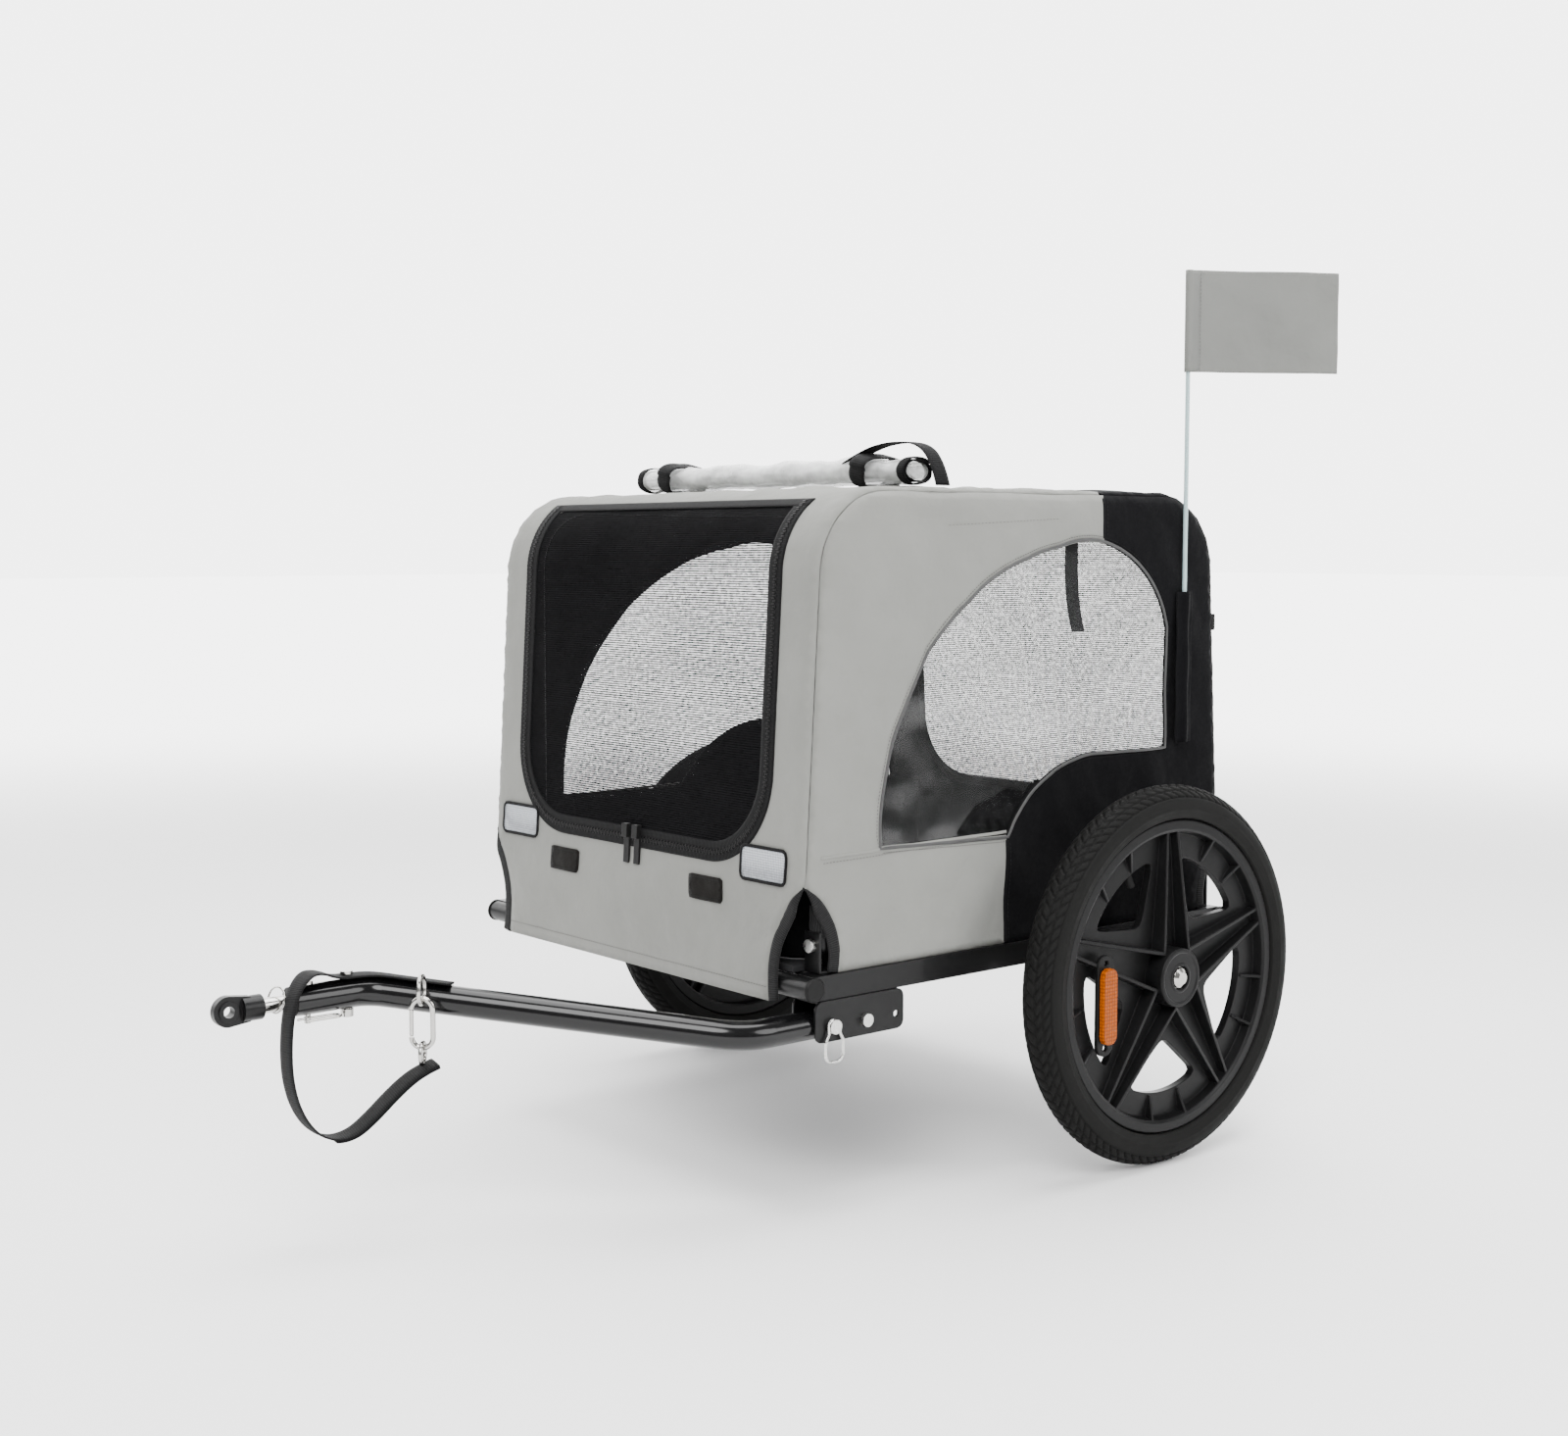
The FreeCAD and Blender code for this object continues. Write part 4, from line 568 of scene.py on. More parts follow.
def route_points(points, samples=10):
    """Points read from a smooth line with the route as its control points."""
    data = bpy.data.curves.new("route", "CURVE")
    data.dimensions = "3D"
    spline = data.splines.new("NURBS")
    spline.points.add(len(points) - 1)
    for handle, point in zip(spline.points, points):
        handle.co = (*point, 1)
    spline.order_u = 3
    spline.use_endpoint_u = True
    data.resolution_u = samples
    holder = bpy.data.objects.new("route", data)
    mesh = bpy.data.meshes.new_from_object(holder)
    line = np.array([v.co for v in mesh.vertices])
    bpy.data.objects.remove(holder)
    bpy.data.curves.remove(data)
    bpy.data.meshes.remove(mesh)
    return line


def waviness(u, v, seed, scale):
    """Smooth repeatable unevenness between about -1 and 1."""
    rng = np.random.default_rng(seed)
    total = np.zeros_like(u)
    for _ in range(7):
        turn, phase = rng.uniform(0, 2 * math.pi, 2)
        rate = rng.uniform(0.6, 1.6) * 2 * math.pi / scale
        total += np.sin(rate * (u * math.cos(turn) + v * math.sin(turn)) + phase)
    return total / 4


def slack_cloth(u, v, seed, depths, scales, stretch=1.0):
    """Broad, fine and slanting unevenness of a cloth."""
    broad = waviness(u, v * stretch, seed, scales[0])
    fine = waviness(u, v, seed + 1, scales[1])
    slanting = waviness(u + 0.7 * v, (v - 0.7 * u) * 0.35, seed + 2, scales[2])
    return depths[0] * broad + depths[1] * fine + depths[2] * slanting


# Meshes

def add_mesh(name, verts, faces, materials, flat_map=None, smooth=True, face_materials=None):
    mesh = bpy.data.meshes.new(name)
    mesh.from_pydata([tuple(v) for v in verts], [], [tuple(int(i) for i in f) for f in faces])
    for material in materials if isinstance(materials, (list, tuple)) else [materials]:
        mesh.materials.append(material)
    if flat_map is not None:
        layer = mesh.uv_layers.new(name="flat_map")
        corners = np.zeros(len(mesh.loops), np.int32)
        mesh.loops.foreach_get("vertex_index", corners)
        layer.data.foreach_set("uv", np.asarray(flat_map, np.float32)[corners].ravel())
    mesh.polygons.foreach_set("use_smooth", [smooth] * len(mesh.polygons))
    if face_materials is not None:
        mesh.polygons.foreach_set("material_index", face_materials)
    mesh.update()
    obj = bpy.data.objects.new(name, mesh)
    bpy.context.scene.collection.objects.link(obj)
    return obj


class Batch:
    """Collects small solids into one mesh."""

    def __init__(self):
        self.verts, self.faces = [], []

    def add(self, verts, faces):
        start = len(self.verts)
        self.verts += [tuple(v) for v in verts]
        self.faces += [tuple(i + start for i in f) for f in faces]

    def build(self, name, material, smooth=False):
        flat = [(x + y, z) for x, y, z in self.verts]
        return add_mesh(name, self.verts, self.faces, material, flat, smooth)


def fix_normals(obj):
    work = bmesh.new()
    work.from_mesh(obj.data)
    bmesh.ops.recalc_face_normals(work, faces=work.faces)
    work.to_mesh(obj.data)
    work.free()


def thicken(obj, thickness, offset=-1.0):
    solid = obj.modifiers.new("thickness", "SOLIDIFY")
    solid.thickness = thickness
    solid.offset = offset
    return solid


def rounded(obj, width, segments=2, angle=35):
    mod = obj.modifiers.new("edges", "BEVEL")
    mod.width = width
    mod.segments = segments
    mod.limit_method = "ANGLE"
    mod.angle_limit = math.radians(angle)


def grid_faces(rows, columns, wrap=False, close=False):
    """Faces between the points of a grid; wrap joins its last row to the first, close its columns."""
    return [(i * columns + j, (i + 1) % rows * columns + j,
             (i + 1) % rows * columns + (j + 1) % columns, i * columns + (j + 1) % columns)
            for i in range(rows if wrap else rows - 1) for j in range(columns if close else columns - 1)]


def inside(points, loops):
    """Even-odd test of points against closed loops."""
    odd = np.zeros(len(points), bool)
    for loop in loops:
        for (x0, y0), (x1, y1) in zip(loop, np.roll(loop, -1, axis=0)):
            if y0 == y1:
                continue
            crosses = (points[:, 1] < y0) != (points[:, 1] < y1)
            odd ^= crosses & (points[:, 0] < x0 + (points[:, 1] - y0) * (x1 - x0) / (y1 - y0))
    return odd


def near_edges(points, starts, ends, reach):
    close = np.zeros(len(points), bool)
    for a, b in zip(starts, ends):
        along = b - a
        share = np.clip((points - a) @ along / max(along @ along, 1e-15), 0, 1)
        close |= np.linalg.norm(points - a - share[:, None] * along, axis=1) < reach
    return close


def fill_region(loops, spacing, splits=()):
    """Even triangles that fill closed loops, with edges along the split lines."""
    points, edges = [], []
    for line, closed in [(loop, True) for loop in loops] + [(split, False) for split in splits]:
        line = resample(line, spacing, closed)
        first = len(points)
        points += list(line)
        count = len(line)
        edges += [(first + i, first + (i + 1) % count) for i in range(count if closed else count - 1)]
    fixed = np.array(points)
    low, high = fixed.min(0), fixed.max(0)
    columns = np.arange(low[0], high[0] + spacing, spacing)
    rows = np.arange(low[1], high[1] + spacing, spacing * 0.866)
    grid = np.array([(x + (j % 2) * spacing / 2, y) for j, y in enumerate(rows) for x in columns])
    grid = grid[inside(grid, loops)]
    starts, ends = fixed[[e[0] for e in edges]], fixed[[e[1] for e in edges]]
    grid = grid[~near_edges(grid, starts, ends, spacing * 0.5)]
    made = delaunay_2d_cdt([Vector(p) for p in np.vstack([fixed, grid])], edges, [], 0, 1e-7)
    verts = np.array([(v.x, v.y) for v in made[0]])
    faces = np.array(made[2])
    faces = faces[inside(verts[faces].mean(1), loops)]
    used, flat = np.unique(faces, return_inverse=True)
    return verts[used], flat.reshape(-1, 3)


def across(path, normals, closed=False):
    """Directions along and across a path that lies on a surface."""
    if closed:
        ahead = np.roll(path, -1, 0) - np.roll(path, 1, 0)
    else:
        ahead = np.gradient(path, axis=0)
    ahead = unit(ahead)
    return ahead, unit(np.cross(ahead, normals))


SECTION = np.array([(-1, 0), (-0.94, 0.7), (-0.5, 1), (0.5, 1), (0.94, 0.7), (1, 0), (0.94, -0.7), (0.5, -1),
                    (-0.5, -1), (-0.94, -0.7)])


def strip(name, path, normals, width, thickness, material, closed=False, sides=None):
    """A flat tape along a path, with rounded edges; its width may change along it."""
    ahead, side = across(path, normals, closed)
    if sides is not None:
        side = sides
    up = unit(np.cross(side, ahead))
    up = np.where(np.sum(up * normals, 1, keepdims=True) < 0, -up, up)
    count, sections = len(path), len(SECTION)
    half = np.broadcast_to(np.asarray(width, float) / 2, (count,))
    verts = (path[:, None] + side[:, None] * (SECTION[None, :, :1] * half[:, None, None])
             + up[:, None] * (SECTION[None, :, 1:] * thickness / 2))
    flat = [(run, spot * size) for run, size in zip(run_along(path), half) for spot in SECTION[:, 0]]
    faces = grid_faces(count, sections, closed, True)
    if not closed:
        faces += [tuple(range(sections))[::-1], tuple(range((count - 1) * sections, count * sections))]
    obj = add_mesh(name, verts.reshape(-1, 3), faces, material, flat)
    fix_normals(obj)
    return obj


def stitches(name, path, normals, material, pitch, length, radius):
    """A row of thread stitches that sit on a surface."""
    batch = Batch()
    run = run_along(path)
    ahead, side = across(path, normals)
    faces = [(i, i + 1, i + 4, i + 3) for i in (0, 1, 3, 4, 6, 7)] + [(0, 1, 2), (11, 10, 9)]
    for place in np.arange(pitch, run[-1] - pitch, pitch):
        here, forward, right, out = (np.array([np.interp(place, run, axis) for axis in table.T])
                                     for table in (path, ahead, side, normals))
        verts = []
        for share, size, rise in ((-0.5, 0.35, 0.1), (-0.25, 1, 0.9), (0.25, 1, 0.9), (0.5, 0.35, 0.1)):
            middle = here + forward * (share * length) + out * (radius * rise)
            verts += [middle + way * radius * size for way in (right, out, -right)]
        batch.add(verts, faces)
    return batch.build(name, material, True)


def lathe(profile, count):
    """A closed ring turned about Z from radius and height pairs."""
    profile = np.asarray(profile, float)
    turns = np.linspace(0, 2 * math.pi, count, endpoint=False)
    verts = np.stack([np.outer(np.cos(turns), profile[:, 0]), np.outer(np.sin(turns), profile[:, 0]),
                      np.tile(profile[:, 1], (count, 1))], axis=2).reshape(-1, 3)
    return verts, grid_faces(count, len(profile), True, True)


def prism(loop, low, high):
    """A straight-sided solid from one outline."""
    count = len(loop)
    verts = [(x, y, level) for level in (low, high) for x, y in loop]
    faces = [tuple(range(count))[::-1], tuple(range(count, 2 * count))]
    faces += [(i, (i + 1) % count, count + (i + 1) % count, count + i) for i in range(count)]
    return verts, faces


def plate(loops, spacing, half):
    """A flat plate cut to closed loops, half its thickness each side of its middle plane."""
    flat, faces = fill_region(loops, spacing)
    count = len(flat)
    verts = [(x, y, level) for level in (half, -half) for x, y in flat]
    walls = [tuple(f) for f in faces] + [tuple(i + count for i in f[::-1]) for f in faces]
    edges = {(a, b): True for face in faces for a, b in zip(face, np.roll(face, -1))}
    walls += [(b, a, a + count, b + count) for a, b in edges if (b, a) not in edges]
    return verts, walls


def tapered_wall(start, end, thickness, low, high, high_end):
    """A thin upright rib between two points, its top sloping from one end to the other."""
    side = unit(end - start)
    side = np.array([-side[1], side[0]]) * thickness / 2
    top = side * 0.7
    verts = []
    for point, height in ((start, high), (end, high_end)):
        verts += [(*(point - side), low), (*(point + side), low)]
        verts += [(*(point + top), height), (*(point - top), height)]
    return verts, [(0, 1, 2, 3), (7, 6, 5, 4), (0, 4, 5, 1), (1, 5, 6, 2), (2, 6, 7, 3), (3, 7, 4, 0)]


def on(obj, body, fold=False, stands_for=()):
    """Parents a piece to its body and hides the pieces it stands for; with fold set, it gets its own copy of
    its mesh.
    """
    if stands_for:
        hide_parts(*stands_for)
    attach(obj, body)
    if fold:
        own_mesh(obj)


# Cabin surface

def profile(run):
    """Side view of the front, roof and rear fabric: setback, height and outward normal."""
    run = np.asarray(run, float)
    rear = run > TOTAL_RUN / 2
    s = np.where(rear, TOTAL_RUN - run, run)
    rise = (SHOULDER - HEM_HEIGHT) / FRONT_RUN
    lean = HEM_BULGE / FRONT_RUN
    angle = np.clip((s - FRONT_RUN) / CORNER_RADIUS, 0, math.pi / 2)
    y = np.where(s < FRONT_RUN, -HEM_BULGE + s * lean, CORNER_RADIUS * (1 - np.cos(angle)))
    z = np.where(s < FRONT_RUN, HEM_HEIGHT + s * rise, SHOULDER + CORNER_RADIUS * np.sin(angle))
    y = y + np.maximum(0, s - FRONT_RUN - ARC_RUN)
    ease = ramp_up(s - FRONT_RUN, -NORMAL_EASE, 2 * NORMAL_EASE)
    low = s < FRONT_RUN + NORMAL_EASE
    ny = np.where(low, -rise * (1 - ease) - np.cos(angle) * ease, -np.cos(angle))
    nz = np.where(low, lean * (1 - ease) + np.sin(angle) * ease, np.sin(angle))
    size = np.hypot(ny, nz)
    y = np.where(rear, CABIN_LENGTH - y, y)
    ny = np.where(rear, -ny, ny)
    return y, z, ny / size, nz / size


def run_of_height(z):
    """How far along the front fabric a height is."""
    z = np.asarray(z, float)
    arc = np.arcsin(ramp_up(z, SHOULDER, CORNER_RADIUS)) * CORNER_RADIUS
    return np.where(z < SHOULDER, (z - HEM_HEIGHT) * FRONT_RUN / (SHOULDER - HEM_HEIGHT), FRONT_RUN + arc)


DOOR_RUNS = [float(run_of_height(z)) for z in (DOOR_BOTTOM, DOOR_TOP)]


def ribbon(u, s):
    """Front, roof and rear fabric: u across the trailer, s from the front hem over the roof."""
    y, z, ny, nz = profile(s)
    flat = SIDE_X - EDGE_RADIUS
    angle = np.maximum(0, np.abs(u) - flat) / EDGE_RADIUS
    x = np.sign(u) * (np.minimum(np.abs(u), flat) + EDGE_RADIUS * np.sin(angle))
    drop = EDGE_RADIUS * (1 - np.cos(angle))
    points = np.column_stack([x, y - ny * drop + FRONT_Y, z - nz * drop])
    normals = np.column_stack([np.sign(u) * np.sin(angle), ny * np.cos(angle), nz * np.cos(angle)])
    return points, unit(normals)


def rear_ribbon(u, s):
    """The same fabric with s from the rear hem."""
    return ribbon(u, TOTAL_RUN - s)


def side_depth(y, z):
    """How far a point of the side lies inside the fabric's side view, and the way out."""
    rear = y > CABIN_LENGTH / 2
    y = np.where(rear, CABIN_LENGTH - y, y)
    lean = HEM_BULGE / (SHOULDER - HEM_HEIGHT)
    slope = math.hypot(1, lean)
    from_centre = np.hypot(y - CORNER_RADIUS, z - SHOULDER)
    size = np.maximum(from_centre, 1e-9)
    low = z < SHOULDER
    corner = (~low) & (y < CORNER_RADIUS)
    depth = np.where(low, (y + lean * (SHOULDER - z)) / slope,
                     np.where(corner, CORNER_RADIUS - from_centre, CABIN_TOP - z))
    out_y = np.where(low, -1 / slope, np.where(corner, (y - CORNER_RADIUS) / size, 0))
    out_z = np.where(low, lean / slope, np.where(corner, (z - SHOULDER) / size, 1))
    return depth, np.where(rear, -out_y, out_y), out_z


def side_surface(sign):
    def mapping(y, z):
        depth, out_y, out_z = side_depth(y, z)
        past = np.maximum(0, EDGE_RADIUS - depth)
        angle = past / EDGE_RADIUS
        slide = EDGE_RADIUS * np.sin(angle) - past
        x = SIDE_X - EDGE_RADIUS * (1 - np.cos(angle))
        points = np.column_stack([sign * x, y + out_y * slide + FRONT_Y, z + out_z * slide])
        normals = np.column_stack([sign * np.cos(angle), out_y * np.sin(angle), out_z * np.sin(angle)])
        return points, unit(normals)
    return mapping


def laid(skin, flat, lift=0.0):
    """Flat points laid on a cabin surface and its unevenness, lifted off it, with their normals."""
    mapping, push = skin
    points, normals = mapping(flat[:, 0], flat[:, 1])
    if push is not None:
        points = points + normals * push(flat[:, 0], flat[:, 1])[:, None]
    return points + normals * lift, normals


def door_loop(grow):
    """The U-shaped door's outline on the front fabric, grown outward: across and along the run."""
    half, low, high = DOOR_HALF + grow, DOOR_BOTTOM - grow, DOOR_TOP + grow
    corner, upper = DOOR_RADIUS + grow, DOOR_TOP_RADIUS + grow
    k = upper * (1 - math.sqrt(0.5))
    right = [(half - corner + corner * math.cos(a), low + corner - corner * math.sin(a))
             for a in np.linspace(math.pi / 2, 0, 18)]
    right += [(half, z) for z in np.linspace(low + corner, high - upper, 24)[1:-1]]
    right += list(arc_points((half, high - upper), (half - k, high - k), (half - upper, high), 8))
    shape = np.array(right + [(-x, z) for x, z in reversed(right)])
    return np.column_stack([shape[:, 0], run_of_height(shape[:, 1])])


def door_edge(grow, spacing=LINE_STEP):
    """The zipped U of a door's outline, from its top left corner down and round to its top right."""
    arm_drop, past_top = 0.03, 0.002
    loop = door_loop(grow)
    loop = np.roll(loop, len(loop) // 2, axis=0)
    arms = loop[loop[:, 1] < float(run_of_height(DOOR_TOP - arm_drop))]
    top = DOOR_RUNS[1] + past_top
    return resample(np.vstack([(arms[0, 0], top), arms, (arms[-1, 0], top)]), spacing)


def from_door(u, s):
    """Distance to a door's edge on the fabric: above 0 outside the door, below 0 in it."""
    return np.maximum(np.abs(u) - DOOR_HALF, np.maximum(DOOR_RUNS[0] - s, s - DOOR_RUNS[1]))


def cutout_curve(corner, width, top):
    """Arc of the pointed corner cut-out, from its tip down to the hem."""
    middle = (corner[0] + width * CUTOUT_SHARES[0], top - (top - corner[1]) * (1 - CUTOUT_SHARES[1]))
    return arc_points((corner[0], top), middle, (corner[0] + width, corner[1]), 20)


def binding_band(curve, corner):
    """A tape inside a cut-out's edge that narrows to its tip: its middle line and its widths."""
    narrow, wide = CUT_BINDING_WIDTHS
    curve = resample(curve, 0.005)
    if curve[0, 1] > curve[-1, 1]:
        curve = curve[::-1]
    ahead = unit(np.gradient(curve, axis=0))
    aside = np.column_stack([-ahead[:, 1], ahead[:, 0]])
    aside *= np.where(np.sum(aside * (np.array(corner) - curve), 1, keepdims=True) < 0, -1, 1)
    left = np.linalg.norm(np.diff(curve, axis=0), axis=1)[::-1].cumsum()[::-1]
    width = np.clip(np.append(left, 0) * 0.5, narrow, wide)
    return curve + aside * (width / 2 - narrow)[:, None], width


def end_sheet_loop(roof_setback):
    """Flat outline of the front or rear fabric up to a line across the roof, and its right cut-out."""
    top = FRONT_RUN + ARC_RUN + roof_setback - CORNER_RADIUS
    half = RIBBON_HALF - SEAM_GAP
    right = cutout_curve((half, 0), -CUTOUT_WIDTH, float(run_of_height(CUTOUT_TOP)))[::-1]
    left = [(-x, s) for x, s in right[::-1]]
    return np.array(list(right) + [(half, top), (-half, top)] + left), right


def side_loop():
    """Flat outline of a side panel with its pointed corner cut-outs, and the two cut-outs."""
    tip = 0.004
    inset = EDGE_RADIUS * (1 - math.pi / 4) + SEAM_GAP
    y, z, ny, nz = profile(np.linspace(0, TOTAL_RUN, 160))
    edge = np.column_stack([y - ny * inset, z - nz * inset])
    edge = edge[edge[:, 1] > CUTOUT_TOP + tip]
    front = cutout_curve((edge[0, 0] - tip, SIDE_BASE), CUTOUT_WIDTH, CUTOUT_TOP)[::-1]
    rear = cutout_curve((edge[-1, 0] + tip, SIDE_BASE), -CUTOUT_WIDTH, CUTOUT_TOP)
    return np.vstack([front, edge, rear]), front, rear


def window_outline():
    """Flat outline of a side window: its front and rear arcs, its sill and the arch over the wheel."""
    start, front, rear, sill, arch = (
        np.array(shares) * [CABIN_LENGTH, CABIN_TOP - SIDE_BASE] + [0, SIDE_BASE]
        for shares in (WINDOW_START_SHARE, WINDOW_FRONT_SHARES, WINDOW_REAR_SHARES, WINDOW_SILL_SHARES,
                       WINDOW_ARCH_SHARES))
    return np.vstack([arc_points(start, *front, 40)[:-1], arc_points(front[1], *rear, 24)[:-1], rear[1:],
                      sill[:1], arc_points(sill[1], *arch, 20)[:-1], arch[1:]])


def sheet_wrinkle(seed):
    """Unevenness of the front or rear fabric: slack in the open, puckers along its side seams."""
    depths, scales = (0.0032, 0.0012, 0.0018), (0.34, 0.11, 0.08)
    pucker_depth, pucker_pitch = 0.0011, 0.027

    def push(u, s):
        edge = RIBBON_HALF - np.abs(u)
        pucker = pucker_depth * np.sin(2 * math.pi * s / pucker_pitch + 3 * waviness(s, s, seed + 5, 0.2))
        hold = ramp_up(edge, 0, 0.03) * ramp_up(s, 0.012, 0.05)
        hold *= ramp_up(np.abs(from_door(u, s)), 0.018, 0.04)
        near = np.exp(-edge / 0.014) * (1 - np.exp(-edge / 0.003))
        return slack_cloth(u, s, seed, depths, scales, 0.6) * hold + pucker * near
    return push


def side_wrinkle(seed):
    """Unevenness of a side panel: slack in the open, puckers along its edge."""
    depths, scales = (0.0028, 0.0011, 0.0018), (0.3, 0.09, 0.08)
    pucker_depth, pucker_pitch = 0.001, 0.025

    def push(y, z):
        depth, _, _ = side_depth(y, z)
        pucker = pucker_depth * np.sin(2 * math.pi * z / pucker_pitch + 3 * waviness(z, y, seed + 3, 0.2))
        hold = ramp_up(depth, 0, 0.05) * np.maximum(ramp_up(z, SIDE_BASE, 0.05), 0.15)
        near = np.exp(-depth / 0.02) * ramp_up(depth, 0, 0.006)
        return slack_cloth(y, z, seed, depths, scales) * hold + pucker * near
    return push


def black_side(points):
    """Whether a flat point of the side is on its black cloth."""
    y, z = points[:, 0], points[:, 1]
    return np.where(z > MID_LEVEL, y > BLACK_START, y > BLACK_LOW_START).astype(np.int32)


WINDOW = window_outline()
SIDE_LOOP, SIDE_FRONT_CUT, SIDE_REAR_CUT = side_loop()


# Cabin pieces

def cloth_piece(name, loops, skin, materials, spacing=SPACING, splits=(), choose=None, thickness=FABRIC):
    """A sheet cut to flat loops, laid on a cabin surface and given thickness."""
    flat, faces = fill_region(loops, spacing, splits)
    points, normals = laid(skin, flat)
    a, b, c = faces[0]
    if np.cross(points[b] - points[a], points[c] - points[a]) @ normals[a] < 0:
        faces = faces[:, ::-1]
    chosen = None if choose is None else choose(flat[faces].mean(1))
    obj = add_mesh(name, points, faces, materials, flat, True, chosen)
    solid = thicken(obj, thickness)
    if len(materials) > 1:
        solid.material_offset = len(materials)
        solid.material_offset_rim = 0
    return obj


def lay_tape(name, skin, line, sizes, material, lift, body="chassis", closed=False):
    """A tape of a width and thickness sewn along a flat line of a cabin surface."""
    on(strip(name, *laid(skin, line, lift), *sizes, material, closed), body, True)


def sew(name, skin, line, thread, lift, sizes=SEAM_THREAD):
    """A row of stitches along a flat line of a cabin surface."""
    on(stitches(name, *laid(skin, line, lift), thread, *sizes), "chassis", True)


def bind_cutout(name, skin, curve, corner):
    edge, widths = binding_band(curve, corner)
    lay_tape(name, skin, edge, (widths, CUT_BINDING_THICKNESS), edge_web, lift=-0.0012)


def make_end(name, mapping, roof_setback, cloth, thread, seed, stands_for):
    """The front or rear fabric with its door opening, bindings and stitching; gives back its surface."""
    hole_gap, stitch_offset, hem_drop, hem_level = 0.001, 0.0078, 0.001, 0.013
    skin = mapping, sheet_wrinkle(seed)
    loop, cut = end_sheet_loop(roof_setback)
    sheet = cloth_piece(f"{name}_fabric", [loop, door_loop(hole_gap)], skin, [cloth, lining])
    on(sheet, "chassis", True, stands_for)
    lay_tape(f"{name}_door_binding", skin, door_edge(DOOR_BINDING[0] / 2), DOOR_BINDING, tape, lift=0.0004)
    sew(f"{name}_door_stitching", skin, door_edge(stitch_offset), thread_black, lift=0.0013)
    ends, top = DOOR_HALF + DOOR_BINDING[0], DOOR_RUNS[1] - hem_drop
    lay_tape(f"{name}_door_hem", skin, resample([(-ends, top), (ends, top)], LINE_STEP), DOOR_HEM, tape,
             lift=0.0005)
    for side, sign in SIDES:
        bind_cutout(f"{name}_cutout_binding_{side}", skin, cut * [sign, 1], (sign * RIBBON_HALF, 0))
    half = RIBBON_HALF - CUTOUT_WIDTH
    hem = resample([(-half, hem_level), (half, hem_level)], LINE_STEP)
    sew(f"{name}_hem_stitching", skin, hem, thread, lift=0.0001)
    return skin


def make_door(end, mapping, seed):
    """A mesh door with its edge tape and zip teeth."""
    net_gap, net_thickness, net_slack = 0.0015, 0.0006, 0.0025
    body = f"{end}_door"

    def belly(u, s):
        return net_slack * waviness(u, s, seed, 0.3) * ramp_up(-from_door(u, s), 0, 0.05)

    panel = cloth_piece(f"{end}_door_net", [door_loop(-net_gap)], (mapping, belly), [net],
                        thickness=net_thickness)
    on(panel, body, True, [f"{end}_door_mesh"])
    lay_tape(f"{end}_door_tape", (mapping, belly), door_edge(-DOOR_TAPE[0] / 2), DOOR_TAPE, tape,
             lift=0.0003, body=body)
    path, normals = laid((mapping, None), door_edge(0.0, TOOTH_PITCH), lift=0.0009)
    ahead, side = across(path, normals)
    along, wide, high = TOOTH_HALF
    faces = [(0, 1, 3, 2), (4, 6, 7, 5), (0, 4, 5, 1), (2, 3, 7, 6), (0, 2, 6, 4), (1, 5, 7, 3)]
    batch = Batch()
    for i, (here, forward, right, out) in enumerate(zip(path, ahead, side, normals)):
        middle = here + right * (TOOTH_LEAN if i % 2 else -TOOTH_LEAN)
        corners = [middle + forward * (a * along) + right * (b * wide) + out * (c * high)
                   for a in (-1, 1) for b in (-1, 1) for c in (-1, 1)]
        batch.add(corners, faces)
    on(batch.build(f"{end}_zip_teeth", plastic), body, True)


